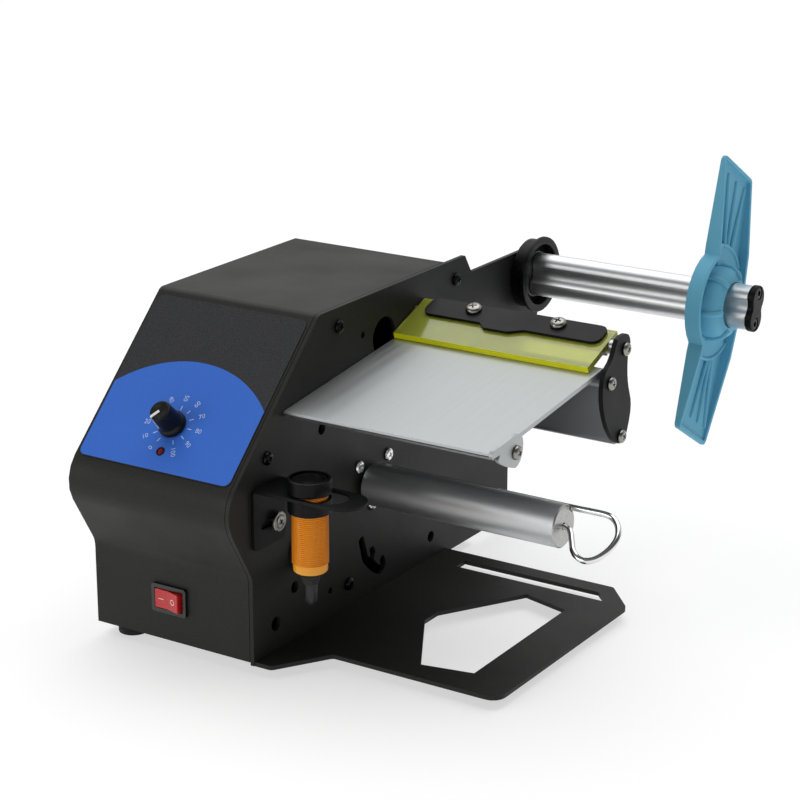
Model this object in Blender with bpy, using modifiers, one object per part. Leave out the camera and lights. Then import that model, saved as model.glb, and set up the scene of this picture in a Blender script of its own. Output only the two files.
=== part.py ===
"""Benchtop label dispenser: slanted control housing, peel plate, take-up roller and roll shaft.

Metres, +Z up. +X points to the free ends of the rollers and -Y to the operator.
Every piece hangs on the empty machine_datum, whose origin lies under the left side of the
housing, just before its front. The middle of the standing face of the whole part is the world origin.
"""

import math

import bmesh
import bpy
from mathutils import Matrix, Vector

# Clearances
GAP = 0.0003
SKIN_GAP = 0.0001
CUT_OVER = 0.0020
WELD = 0.000001
MITRE_SHARE = 0.35

# Sheet thicknesses
FRAME_SHEET = 0.0022
COVER_SHEET = 0.0012
BOTTOM_SHEET = 0.0012

# Housing profile, seen from the side
HOUSING_WIDTH = 0.0974
HOUSING_DEPTH = 0.2120
COVER_DROP = 0.0007
ROOF_HEIGHT = 0.1611
FRONT_SETBACK = 0.0017
NOSE_DROP = 0.0787
WAIST_DROP = 0.0391
SHOULDER_DROP = 0.0211
NOSE_REACH = 0.0209
SLOPE_RUN = 0.0814
SHOULDER_RUN = 0.0321
NOSE_HEIGHT = ROOF_HEIGHT - NOSE_DROP
FRONT_HEIGHT = NOSE_HEIGHT - WAIST_DROP
SHOULDER_HEIGHT = ROOF_HEIGHT - SHOULDER_DROP
ROOF_FRONT = SLOPE_RUN - NOSE_REACH
ROOF_BACK = HOUSING_DEPTH - SHOULDER_RUN
WAIST_BEND = 0.0120
NOSE_BEND = 0.0185
ROOF_BEND = 0.0050
BEND_STEPS = 4
LEFT_PANEL_INSET = 0.0026

# Side frame behind the housing: peak, notch, arm and tail
PEAK_RUN = 0.0171
NOTCH_RUN = 0.0067
NOTCH_DROP = 0.0104
ARM_RUN = 0.0743
ARM_DEPTH = 0.0387
TAIL_SETBACK = 0.0323
TAIL_HEIGHT = 0.0700
PEAK_BACK = ROOF_BACK + PEAK_RUN
NOTCH_BACK = PEAK_BACK + NOTCH_RUN
ARM_END = NOTCH_BACK + ARM_RUN
ARM_HEIGHT = ROOF_HEIGHT - NOTCH_DROP
ARM_UNDERSIDE = ARM_HEIGHT - ARM_DEPTH
TAIL_BACK = ARM_END - TAIL_SETBACK
ARM_BEND = 0.0080
PEAK_BEND = 0.0015

# Base flange and its cut-outs
FLANGE_HEEL = 0.0097
FLANGE_HEEL_FRONT = 0.0004
FLANGE_STEP_RUN = 0.0175
FLANGE_FRONT = 0.0300
FLANGE_CHAMFER = 0.0179
FLANGE_CHAMFER_RUN = 0.0200
FLANGE_CORNER = 0.0070
FLANGE_BEND = 0.0030
WINDOW_WIDTH = 0.0540
WINDOW_LENGTH = 0.1038
WINDOW_FROM_FRAME = 0.0424
WINDOW_FROM_FRONT = 0.0134
WINDOW_TO_EDGE = 0.0242
WINDOW_TO_SLOT = 0.0133
SLOT_FROM_FRAME = 0.0180
SLOT_TO_EDGE = 0.0122
SLOT_TO_BACK = 0.0100
SLOT_WIDTH = 0.0095
WINDOW_LEFT = HOUSING_WIDTH + WINDOW_FROM_FRAME
WINDOW_FRONT = FLANGE_FRONT + WINDOW_FROM_FRONT
FLANGE_STEP = HOUSING_WIDTH + FLANGE_HEEL + FLANGE_STEP_RUN
FLANGE_REACH = WINDOW_LEFT + WINDOW_WIDTH + WINDOW_TO_EDGE
SLOT_LEFT = HOUSING_WIDTH + SLOT_FROM_FRAME
SLOT_LENGTH = FLANGE_REACH - SLOT_TO_EDGE - SLOT_LEFT
SLOT_FRONT = WINDOW_FRONT + WINDOW_LENGTH + WINDOW_TO_SLOT
FLANGE_BACK = SLOT_FRONT + SLOT_WIDTH + SLOT_TO_BACK
FLANGE_SIDE_BACK = FLANGE_BACK - FLANGE_CHAMFER_RUN
WINDOW_SHARES = ((0.49, 1.00), (0.99, 0.93), (1.00, 0.05), (0.50, 0.00), (0.00, 0.45), (0.00, 0.57))

# Feet
FOOT_RADIUS = 0.0077
FOOT_HEIGHT = 0.0050
FOOT_TAPER = 0.0007
FOOT_TAPER_HEIGHT = 0.0015
FOOT_INSET = 0.0126
FLANGE_FOOT_OUT = 0.0270
FLANGE_FOOT_INSET = 0.0220
FLANGE_FOOT_X = HOUSING_WIDTH + FLANGE_FOOT_OUT

# Fasteners
SCREW_RADIUS = 0.0015
SCREW_HEAD_RIM = 0.0020
SCREW_HEAD_RADIUS = SCREW_RADIUS + SCREW_HEAD_RIM
SCREW_HEAD_HEIGHT = 0.0020
SCREW_LENGTH = 0.0060
SCREW_HEAD_SHARES = ((0.00, 1.00), (0.55, 0.92), (0.88, 0.62), (1.00, 0.20), (1.00, 0.00))
TAB_WIDTH = 0.0140
TAB_REACH = 0.0070
ROOF_SCREW_SETBACK = 0.0163
SHOULDER_SCREW_SETBACK = 0.0076
SHOULDER_SCREW_DEPTH = 0.0110
ROOF_SCREW_DEPTH = 0.0097
SLOPE_SCREW_PLACE = 0.0389
SLOPE_SCREW_DEPTH = 0.0116
SILL_SCREW_Y = 0.0838
SILL_SCREW_Z = 0.0127

# Plain holes in the side frame
PASS_HOLE_RADIUS = 0.0104
SMALL_HOLE_RADIUS = 0.0018
MEDIUM_HOLE_RADIUS = 0.0031
CORNER_HOLE_RADIUS = 0.0038
SMALL_HOLE_SHARES = ((0.319, 0.090),)
MEDIUM_HOLE_SHARES = ((0.291, 0.637), (0.173, 0.169), (0.772, 0.076))
CORNER_HOLE_SHARES = (0.096, 0.084)
FORK_Y = 0.0937
FORK_Z = 0.0083
FORK_WIDTH = 0.0254
FORK_HEIGHT = 0.0259
FORK_SHARES = (
    (0.13, 1.00), (0.00, 0.93), (0.07, 0.71), (0.17, 0.42), (0.67, 0.00), (0.92, 0.03),
    (1.00, 0.17), (0.91, 0.35), (0.79, 0.30), (0.80, 0.16), (0.55, 0.38), (0.62, 0.51),
    (0.53, 0.67), (0.40, 0.63), (0.43, 0.48), (0.34, 0.52), (0.20, 0.93),
)

# Control panel, measured along the slope from the nose corner
OVERLAY_FILM = 0.0004
OVERLAY_MARGIN = 0.0015
OVERLAY_START = 0.0149
OVERLAY_TOP_MARGIN = 0.0042
OVERLAY_LENGTH = math.hypot(SLOPE_RUN, NOSE_DROP) - OVERLAY_START - OVERLAY_TOP_MARGIN
OVERLAY_CORNER = 0.0040
KNOB_X = 0.0474
KNOB_PLACE = 0.0402
KNOB_FLANGE_HEIGHT = 0.0033
KNOB_CAP_RADIUS = 0.0053
KNOB_WALL = 0.0008
KNOB_CHAMFER = 0.0006
KNOB_POINTER = 0.0012
KNOB_POINTER_RISE = 0.0003
KNOB_REST_ANGLE = math.radians(233.0)
POT_SHAFT_RADIUS = 0.0028
POT_SHAFT_REACH = 0.0080
POT_BUSHING_WALL = 0.0008
POT_BUSHING_REACH = 0.0010
POT_NUT_RIM = 0.0019
POT_NUT_HEIGHT = 0.0018
POT_BODY_RADIUS = 0.0080
POT_BUSHING_RADIUS = POT_SHAFT_RADIUS + POT_BUSHING_WALL
POT_NUT_RADIUS = POT_BUSHING_RADIUS + POT_NUT_RIM
POT_NUT_LOW = SKIN_GAP + OVERLAY_FILM + GAP
POT_NUT_TOP = POT_NUT_LOW + POT_NUT_HEIGHT
POT_BUSHING_TOP = POT_NUT_TOP + POT_BUSHING_REACH
POT_SHAFT_TOP = POT_BUSHING_TOP + POT_SHAFT_REACH
KNOB_SKIRT_ROOM = 0.0005
KNOB_FLANGE_RADIUS = POT_NUT_RADIUS + KNOB_SKIRT_ROOM + KNOB_WALL
KNOB_CAP_WALL = 0.0031
KNOB_TOP = POT_SHAFT_TOP + GAP + KNOB_CAP_WALL
POT_BODY_DEPTH = 0.0090
LAMP_RADIUS = 0.0020
LAMP_PLACE = 0.0255
LAMP_LENGTH = 0.0060
LAMP_COLLAR = 0.0008
LAMP_DOME_SHARES = ((0.00, 0.75), (0.55, 0.65), (0.90, 0.30), (1.00, 0.00))

# Power switch on the lower front
SWITCH_X = 0.0470
SWITCH_HEIGHT_SHARE = 0.50
SWITCH_Z = FRONT_HEIGHT * SWITCH_HEIGHT_SHARE
SWITCH_RIM = 0.0009
SWITCH_SILL = 0.0011
SWITCH_BEZEL_PROUD = 0.0018
SWITCH_WALL = 0.0011
SWITCH_CORNER = 0.0012
SWITCH_BODY_DEPTH = 0.0140
ROCKER_HALF_WIDTH = 0.0078
ROCKER_HALF_HEIGHT = 0.0050
ROCKER_CREST = 0.0036
ROCKER_ROOT = 0.0040
ROCKER_PIVOT_DEPTH = 0.0004
ROCKER_TILT = math.radians(8.0)
ROCKER_SWING = 0.0007

# Power inlet on the back wall
INLET_X = 0.0300
INLET_Z = 0.0250
INLET_RADIUS = 0.0040
INLET_FLANGE_RADIUS = 0.0056
INLET_FLANGE = 0.0015
INLET_DEPTH = 0.0120
INLET_SOCKET_RADIUS = 0.0028
INLET_PIN_RADIUS = 0.0010

# Control board on posts on the bottom plate
BOARD_LEFT = 0.0140
BOARD_FRONT = 0.0400
BOARD_TO_FRAME = 0.0128
BOARD_WIDTH = HOUSING_WIDTH - FRAME_SHEET - BOARD_TO_FRAME - BOARD_LEFT
BOARD_LENGTH = 0.0500
BOARD_SHEET = 0.0016
BOARD_MARGIN = 0.0045
POST_RADIUS = 0.0030
POST_HEIGHT = 0.0060
POST_PIN_RADIUS = 0.0012

# Gear motor and take-up roller
TAKEUP_Y = 0.1033
TAKEUP_Z = 0.0614
GEARBOX_RADIUS = 0.0185
GEARBOX_LENGTH = 0.0220
GEARBOX_OFFSET_Y = 0.0042
GEARBOX_OFFSET_Z = 0.0034
GEARBOX_BOSS_REACH = 0.0019
MOTOR_RADIUS = 0.0160
MOTOR_LENGTH = 0.0330
MOTOR_BOLT_RADIUS = 0.0155
MOTOR_SCREW_HEAD_HEIGHT = 0.0016
MOTOR_BOLT_ANGLES = (27.0, 149.0, 264.0)
OUTPUT_RADIUS = 0.0030
GEARBOX_BOSS_WALL = 0.0032
GEARBOX_BOSS_RADIUS = OUTPUT_RADIUS + GEARBOX_BOSS_WALL
OUTPUT_DEPTH = 0.0100
OUTPUT_REACH = 0.0230
ROLLER_RADIUS = 0.0110
ROLLER_STANDOFF = 0.0020
ROLLER_START = HOUSING_WIDTH + ROLLER_STANDOFF
ROLLER_LENGTH = 0.1118
ROLLER_CHAMFER = 0.0005
CLIP_WIRE_RADIUS = 0.0016
CLIP_ANGLE = math.radians(44.0)
CLIP_SUNK = 0.0003
CLIP_OFFSET = ROLLER_RADIUS - CLIP_SUNK
CLIP_TAIL_START = 0.0015
CLIP_INNER_LEG = 0.0560
CLIP_LOOP_LENGTH = 0.0294
CLIP_LOOP_WIDTH = 0.0258
CLIP_LOOP_SHARES = (
    (0.34, 0.004), (0.65, 0.000), (0.82, -0.060), (0.94, -0.200), (1.00, -0.390), (0.98, -0.580),
    (0.90, -0.770), (0.77, -0.930), (0.62, -1.000), (0.47, -0.975), (0.34, -0.860), (0.25, -0.680),
    (0.17, -0.520), (0.08, -0.435),
)
CLIP_STEPS = 3

# Peel plate
PLATE_SHEET = 0.0015
PLATE_WIDTH = 0.1162
PLATE_FRONT_Y = 0.0290
PLATE_DROP = 0.0402
PLATE_LENGTH = 0.1072
PLATE_RIGHT = HOUSING_WIDTH + GAP + PLATE_WIDTH
PLATE_FRONT_Z = ROOF_HEIGHT - PLATE_DROP
PLATE_RISE = math.radians(7.05)
PLATE_HEM_LENGTH = 0.0085
PLATE_HEM_DEPTH = 0.0033
PLATE_HEM_SLANT = 0.0007
PLATE_LIP = 0.0023
PLATE_LIP_SETBACK = 0.0065
PLATE_FLANGE = 0.0090
PLATE_FLANGE_SETBACK = 0.0200
EAR_AHEAD = 0.0030
EAR_BELOW = 0.0118
EAR_Y = PLATE_FRONT_Y - EAR_AHEAD
EAR_Z = PLATE_FRONT_Z - EAR_BELOW
EAR_LENGTH = 0.0284
EAR_HEIGHT = 0.0161
EAR_SHARES = (
    (0.05, 0.88), (0.29, 0.91), (0.58, 0.97), (0.82, 1.00), (0.99, 0.81), (1.00, 0.45), (0.92, 0.14),
    (0.76, 0.00), (0.59, 0.12), (0.53, 0.14), (0.30, 0.35), (0.20, 0.51), (0.26, 0.66), (0.07, 0.64),
    (0.00, 0.72),
)
TIE_ROD_SETBACK = 0.0189
TIE_ROD_RADIUS = 0.0040
TIE_ROD_Y = PLATE_FRONT_Y + TIE_ROD_SETBACK
TIE_ROD_Z = (
    PLATE_FRONT_Z + TIE_ROD_SETBACK * math.tan(PLATE_RISE) - PLATE_LIP / math.cos(PLATE_RISE)
    - GAP - TIE_ROD_RADIUS
)
SPIGOT_RADIUS = 0.0026

# Guide profile, press rod and end bracket
BRACKET_SHEET = 0.0025
BRACKET_STANDOFF = 0.0006
BRACKET_INNER = PLATE_RIGHT + PLATE_SHEET + BRACKET_STANDOFF
BRACKET_LENGTH = 0.0323
BRACKET_HEIGHT = 0.0560
BRACKET_SHARES = (
    (0.71, 1.00), (0.51, 0.98), (0.42, 0.89), (0.30, 0.80), (0.13, 0.73), (0.06, 0.58), (0.10, 0.40),
    (0.25, 0.21), (0.45, 0.07), (0.61, 0.01), (0.78, 0.00), (0.90, 0.08), (1.00, 0.25), (0.99, 0.37),
    (0.91, 0.49), (0.86, 0.62), (0.86, 0.79), (0.93, 0.90), (0.86, 0.98),
)
GUIDE_LOBE_RADIUS = 0.0047
GUIDE_SPACING = 0.0331
GUIDE_LEAN = math.radians(22.1)
GUIDE_FILLET = 0.1050
BRACKET_BORE_DEPTH = 0.0100
PRESS_BEHIND = 0.01365
PRESS_ABOVE = 0.0071
PRESS_Y = PLATE_FRONT_Y + PLATE_LENGTH * math.cos(PLATE_RISE) + PRESS_BEHIND
PRESS_Z = PLATE_FRONT_Z + PLATE_LENGTH * math.sin(PLATE_RISE) + PRESS_ABOVE
GUIDE_AHEAD = 0.0148
GUIDE_BELOW = 0.0138
GUIDE_TOP_Y = PRESS_Y - GUIDE_AHEAD
GUIDE_TOP_Z = PRESS_Z - GUIDE_BELOW
BRACKET_AHEAD = 0.0246
BRACKET_BELOW = 0.0482
BRACKET_Y = PRESS_Y - BRACKET_AHEAD
BRACKET_Z = PRESS_Z - BRACKET_BELOW
PASS_HOLE_AHEAD = 0.0310
PASS_HOLE_BELOW = 0.0052
PASS_HOLE_Y = PRESS_Y - PASS_HOLE_AHEAD
PASS_HOLE_Z = PRESS_Z - PASS_HOLE_BELOW
UPPER_HOLE_AHEAD = 0.0194
UPPER_HOLE_ABOVE = 0.0056
PRESS_ROD_RADIUS = 0.0037
PRESS_BAR_SHEET = 0.0040
PRESS_BAR_FRONT = 0.0030
PRESS_BAR_BACK = 0.0085
PRESS_BAR_MARGIN = 0.0010
PRESS_SLOPE = math.radians(20.5)

# Press window, its strip and screws, measured up the window from the press rod
WINDOW_SHEET = 0.0032
WINDOW_SEAT = 0.0003
PRESS_SIDE_GAP = 0.0006
PRESS_END_GAP = 0.0058
WINDOW_X = HOUSING_WIDTH + PRESS_SIDE_GAP
WINDOW_REACH = BRACKET_INNER - PRESS_END_GAP - WINDOW_X
WINDOW_BELOW = 0.0236
WINDOW_ABOVE = 0.0085
STRIP_SHEET = 0.0015
STRIP_SIDE_MARGIN = 0.0066
STRIP_END_MARGIN = 0.0036
STRIP_X = WINDOW_X + STRIP_SIDE_MARGIN
STRIP_REACH = WINDOW_REACH - STRIP_SIDE_MARGIN - STRIP_END_MARGIN
STRIP_BELOW = 0.0055
STRIP_ABOVE = 0.0085
STRIP_CORNER = 0.0045
STRIP_TAB_SHARE = 0.34
STRIP_TAB_X = STRIP_X + STRIP_REACH * STRIP_TAB_SHARE
STRIP_TAB_WIDTH = 0.0258
STRIP_TAB_REACH = 0.0036
STRIP_TAB_SLANT = 0.0080
STRIP_TAB_BEND = 0.0015
STRIP_SCREW_SHARES = (0.258, 0.74)
STRIP_SCREW_XS = [STRIP_X + STRIP_REACH * share for share in STRIP_SCREW_SHARES]
STRIP_SCREW_PLACE = 0.0034
STRIP_SCREW_HEAD = 0.0043
STRIP_SCREW_HEIGHT = 0.0026

# Label sensor and its bracket
SENSOR_OUT = 0.0252
SENSOR_Y = 0.0145
SENSOR_RADIUS = 0.0090
SENSOR_TAIL_STEP = 0.0006
SENSOR_ABOVE_ARM = 0.0085
SENSOR_THREAD = 0.0416
SENSOR_TAIL = 0.0048
SENSOR_LENS_RIM = 0.0020
SENSOR_LENS_DEPTH = 0.0010
SENSOR_TRAVEL = 0.0115
NUT_WALL = 0.0017
NUT_HEIGHT = 0.0075
NUT_CHAMFER = 0.0008
SENSOR_BRACKET_SHEET = 0.0015
SENSOR_ARM_DROP = 0.0337
SENSOR_ARM_BEYOND = 0.0075
SENSOR_ARM_RIM = 0.0028
SENSOR_FLANGE_DROP = 0.0297
SENSOR_FLANGE_HALF_WIDTH = 0.0130
SENSOR_FLANGE_CORNER = 0.0030
SENSOR_SLOT_DROP = 0.0185
SENSOR_SLOT_LENGTH = 0.0120
SENSOR_SLOT_AHEAD = 0.0052
SENSOR_SCREW_BEHIND = 0.0042
SENSOR_X = HOUSING_WIDTH + SENSOR_OUT
SENSOR_TAIL_RADIUS = SENSOR_RADIUS - SENSOR_TAIL_STEP
SENSOR_LENS_RADIUS = SENSOR_RADIUS - SENSOR_LENS_RIM
NUT_RADIUS = SENSOR_RADIUS + NUT_WALL
SENSOR_ARM_Z = PLATE_FRONT_Z - SENSOR_ARM_DROP
SENSOR_TOP = SENSOR_ARM_Z + SENSOR_ABOVE_ARM
SENSOR_THREAD_END = SENSOR_TOP - SENSOR_THREAD
SENSOR_BOTTOM = SENSOR_THREAD_END - SENSOR_TAIL
SENSOR_ARM_HALF_WIDTH = SENSOR_RADIUS + SENSOR_ARM_RIM
SENSOR_ARM_REACH = SENSOR_X + SENSOR_TRAVEL + SENSOR_ARM_BEYOND + SENSOR_ARM_HALF_WIDTH
SENSOR_FLANGE_BOTTOM = SENSOR_ARM_Z - SENSOR_FLANGE_DROP
SENSOR_SLOT_Z = SENSOR_ARM_Z - SENSOR_SLOT_DROP
SENSOR_SLOT_FRONT = SENSOR_Y - SENSOR_SLOT_AHEAD
SENSOR_SLOT_BACK = SENSOR_SLOT_FRONT + SENSOR_SLOT_LENGTH
SENSOR_SCREW_Y = SENSOR_Y + SENSOR_SCREW_BEHIND
WASHER_RADIUS = 0.0051
WASHER_SHEET = 0.0014
CABLE_RADIUS = 0.0029
CABLE_STEPS = 3
CABLE_FROM_SENSOR = (
    (0.0000, 0.0000, -0.0003), (0.0000, 0.0000, -0.0090), (-0.0020, 0.0025, -0.0155),
    (-0.0062, 0.0090, -0.0186),
)
CABLE_FROM_GROMMET = (
    (0.0125, -0.0093, -0.0105), (0.0060, -0.0028, -0.0045), (-0.0010, 0.0000, 0.0000),
    (-0.0085, 0.0022, 0.0005), (-0.0160, 0.0062, -0.0040),
)
CABLE_FROM_BOARD = ((-0.0055, 0.0130, 0.0251), (-0.0065, 0.0150, 0.0131), (-0.0065, 0.0150, 0.0008))
GROMMET_Y = 0.0428
GROMMET_ROOM = 0.0049
GROMMET_WALL = 0.0014
GROMMET_RIM = 0.0015
GROMMET_BELOW = 0.0018
GROMMET_FLANGE = 0.0014
GROMMET_BORE_RADIUS = CABLE_RADIUS + GROMMET_ROOM
GROMMET_NECK_RADIUS = GROMMET_BORE_RADIUS + GROMMET_WALL
GROMMET_RADIUS = GROMMET_NECK_RADIUS + GROMMET_RIM
GROMMET_Z = SENSOR_FLANGE_BOTTOM - GROMMET_BELOW - GROMMET_RADIUS

# Supply shaft, collar, hub and retainer
SUPPLY_SETBACK = 0.0140
SUPPLY_DROP = 0.0242
SUPPLY_Y = ARM_END - SUPPLY_SETBACK
SUPPLY_Z = ROOF_HEIGHT - SUPPLY_DROP
SUPPLY_TILT = math.radians(-13.0)
COLLAR_DEPTH = 0.0092
COLLAR_LIP = 0.0020
COLLAR_WALL = 0.0022
COLLAR_FLOOR = 0.0027
COLLAR_LIP_RIM = 0.0020
COLLAR_ROOM = 0.0038
COLLAR_BOSS_WALL = 0.0027
BEARING_WALL = 0.0027
BEARING_LENGTH = 0.0045
AXLE_RADIUS = 0.0050
AXLE_REACH = 0.0120
HUB_RADIUS = 0.0130
HUB_DEPTH = 0.0027
HUB_PIN_LENGTH = 0.0080
HUB_NUT_WALL = 0.0027
HUB_NUT_HEIGHT = 0.0040
SHAFT_OUT = 0.1356
SHAFT_LOBE_RADIUS = 0.0065
SHAFT_LOBE_OFFSET = 0.0054
SHAFT_FLUTE_RADIUS = 0.0045
SHAFT_PORT_OUT = 0.0028
SHAFT_PORT_RADIUS = 0.0022
CAP_OVERHANG = 0.0005
BEARING_RADIUS = AXLE_RADIUS + GAP + BEARING_WALL
COLLAR_BOSS_RADIUS = BEARING_RADIUS + GAP + COLLAR_BOSS_WALL
HUB_NUT_RADIUS = AXLE_RADIUS + GAP + HUB_NUT_WALL
COLLAR_RADIUS = HUB_RADIUS + COLLAR_ROOM + COLLAR_WALL
COLLAR_LIP_RADIUS = COLLAR_RADIUS + COLLAR_LIP_RIM
SHAFT_END = HOUSING_WIDTH + SHAFT_OUT
SHAFT_PORT_OFFSET = SHAFT_LOBE_OFFSET + SHAFT_PORT_OUT
CAP_LOBE_RADIUS = SHAFT_LOBE_RADIUS + CAP_OVERHANG
CAP_DEPTH = 0.0036
CAP_SCREW_HEAD_RADIUS = 0.0032
CAP_SCREW_HEAD_HEIGHT = 0.0018
CAP_SCREW_LENGTH = 0.0140
RETAINER_SETBACK = 0.0249
RETAINER_BACK = SHAFT_END - RETAINER_SETBACK
RETAINER_DEPTH = 0.0085
RETAINER_HUB_RADIUS = 0.0282
RETAINER_WEB = 0.0030
RETAINER_RIM = 0.0022
RETAINER_TIP_DEPTH = 0.0040
RETAINER_TIP_RISE = 0.0022
WING_REACH = 0.0795
WING_SHARES = ((0.496, 0.742), (0.066, 1.000))
WING_TIP_CORNER = 0.0028
WING_NECKS = ((0.0, 104.0), (218.0, 318.0))
WING_DIRECTION = math.radians(-18.0)
DOME_RADIUS = 0.0196
DOME_HEIGHT = 0.0148
DOME_SHARES = ((0.73, 1.00), (0.90, 0.85), (0.98, 0.63))
DOME_WALL_OVERLAP = 0.0030

# Orientations
FLAT = (0.0, 0.0, 0.0)
SIDEWAYS = (math.pi / 2, 0.0, math.pi / 2)
ALONG_X = (0.0, math.pi / 2, 0.0)
FACING_FRONT = (math.pi / 2, 0.0, 0.0)
FACING_BACK = (math.pi / 2, 0.0, math.pi)

# Roundness of turned pieces
FINE = 32
MEDIUM = 20
COARSE = 12

SLOPE_ANGLE = math.atan2(ROOF_HEIGHT - NOSE_HEIGHT, ROOF_FRONT + NOSE_REACH)
FLOOR_LEVEL = -(FRAME_SHEET + GAP + FOOT_HEIGHT)
FRAME_INNER = HOUSING_WIDTH - FRAME_SHEET
SHAFT_ENVELOPE = SHAFT_LOBE_OFFSET + SHAFT_LOBE_RADIUS


# Collections and materials


def clear_scene():
    """Remove every object of the open scene."""
    for obj in list(bpy.data.objects):
        bpy.data.objects.remove(obj, do_unlink=True)


def new_collection(name):
    """Collection linked to the scene."""
    collection = bpy.data.collections.new(name)
    bpy.context.scene.collection.children.link(collection)
    return collection


clear_scene()
PARTS = new_collection("label_dispenser_machine")
CUTTERS = new_collection("cutters")


def finish(name, colour, roughness, metallic=0.0):
    """Principled material with a plain colour."""
    material = bpy.data.materials.new(name)
    material.use_nodes = True
    shader = material.node_tree.nodes["Principled BSDF"]
    shader.inputs["Base Color"].default_value = (*colour, 1.0)
    shader.inputs["Roughness"].default_value = roughness
    shader.inputs["Metallic"].default_value = metallic
    return material


POWDER_COAT = finish("powder_coat", (0.030, 0.031, 0.032), 0.55)
BLACK_PLASTIC = finish("black_plastic", (0.020, 0.021, 0.024), 0.35)
BLACK_SCREW = finish("black_screw", (0.025, 0.025, 0.027), 0.30, 0.6)
RUBBER = finish("rubber", (0.018, 0.018, 0.018), 0.80)
OVERLAY_BLUE = finish("overlay_blue", (0.060, 0.150, 0.520), 0.45)
KNOB_BLACK = finish("knob_black", (0.015, 0.015, 0.016), 0.40)
LAMP_RED = finish("lamp_red", (0.450, 0.020, 0.020), 0.20)
SWITCH_RED = finish("switch_red", (0.620, 0.030, 0.030), 0.30)
BRASS = finish("brass", (0.700, 0.520, 0.220), 0.35, 1.0)
BOARD_GREEN = finish("board_green", (0.030, 0.180, 0.080), 0.50)
STEEL = finish("steel", (0.600, 0.600, 0.600), 0.35, 1.0)
CHROME = finish("chrome", (0.800, 0.800, 0.800), 0.12, 1.0)
ALUMINIUM = finish("aluminium", (0.720, 0.730, 0.740), 0.35, 1.0)
GREY_ALUMINIUM = finish("grey_aluminium", (0.300, 0.310, 0.320), 0.38, 1.0)
PLATE_SILVER = finish("plate_silver", (0.620, 0.630, 0.640), 0.40, 0.9)
ACRYLIC = finish("acrylic", (0.700, 0.760, 0.060), 0.08)
SENSOR_ORANGE = finish("sensor_orange", (0.850, 0.330, 0.020), 0.40)
RETAINER_BLUE = finish("retainer_blue", (0.120, 0.420, 0.600), 0.45)


# Outlines


def bend(corners, radii, closed=True):
    """Corner points joined by straight lines, each corner rounded by its own radius."""
    points = []
    count = len(corners)
    for index, corner in enumerate(corners):
        radius = radii[index]
        end = not closed and index in (0, count - 1)
        if end or radius == 0.0:
            points.append(corner)
            continue
        here = Vector(corner)
        back = (Vector(corners[index - 1]) - here).normalized()
        ahead = (Vector(corners[(index + 1) % count]) - here).normalized()
        half = math.acos(max(-1.0, min(1.0, back.dot(ahead)))) / 2
        start = here + back * (radius / math.tan(half))
        centre = here + (back + ahead).normalized() * (radius / math.sin(half))
        sweep = math.pi - 2 * half
        side = 1.0 if back.x * ahead.y - back.y * ahead.x < 0.0 else -1.0
        arm = start - centre
        for step in range(BEND_STEPS + 1):
            turn = side * sweep * step / BEND_STEPS
            spun = Matrix.Rotation(turn, 2) @ arm
            points.append((centre.x + spun.x, centre.y + spun.y))
    return points


def inset(loop, distance):
    """Closed loop, listed anticlockwise, moved inwards by a distance."""
    points = []
    count = len(loop)
    for index in range(count):
        here = Vector(loop[index])
        before = (here - Vector(loop[index - 1])).normalized()
        after = (Vector(loop[(index + 1) % count]) - here).normalized()
        inward = Vector((-before.y - after.y, before.x + after.x)).normalized()
        stretch = max(inward.dot(Vector((-before.y, before.x))), MITRE_SHARE)
        points.append(tuple(here + inward * (distance / stretch)))
    return points


def circle(centre, radius, steps=MEDIUM):
    """Closed ring of points."""
    angles = [2 * math.pi * step / steps for step in range(steps)]
    return [(centre[0] + radius * math.cos(a), centre[1] + radius * math.sin(a)) for a in angles]


def arc(centre, radius, start, end, steps):
    """Points along an arc, both ends included."""
    angles = [start + (end - start) * step / steps for step in range(steps + 1)]
    return [(centre[0] + radius * math.cos(a), centre[1] + radius * math.sin(a)) for a in angles]


def rectangle(left, low, width, height):
    """Four corners, anticlockwise."""
    return [(left, low), (left + width, low), (left + width, low + height), (left, low + height)]


def long_hole(start, end, radius, steps=8):
    """Slot with round ends between two centres."""
    along = math.atan2(end[1] - start[1], end[0] - start[0])
    far = arc(end, radius, along - math.pi / 2, along + math.pi / 2, steps)
    near = arc(start, radius, along + math.pi / 2, along + 3 * math.pi / 2, steps)
    return far + near


def dog_bone(lobe_radius, lobe_offset, flute_radius, steps=10):
    """Two lobes on the second axis, joined by hollow sides."""
    flute_offset = math.sqrt((lobe_radius + flute_radius) ** 2 - lobe_offset ** 2)
    lean = math.atan2(lobe_offset, flute_offset)
    loop = arc((0.0, lobe_offset), lobe_radius, -lean, math.pi + lean, steps)
    loop += arc((-flute_offset, 0.0), flute_radius, lean, -lean, steps // 2)[1:-1]
    loop += arc((0.0, -lobe_offset), lobe_radius, math.pi - lean, 2 * math.pi + lean, steps)
    loop += arc((flute_offset, 0.0), flute_radius, math.pi + lean, math.pi - lean, steps // 2)[1:-1]
    return loop


def spin_loop(loop, angle, centre=(0.0, 0.0)):
    """Loop turned about the origin and then moved."""
    turn = Matrix.Rotation(angle, 2)
    spun = [turn @ Vector(point) for point in loop]
    return [(centre[0] + point.x, centre[1] + point.y) for point in spun]


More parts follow.
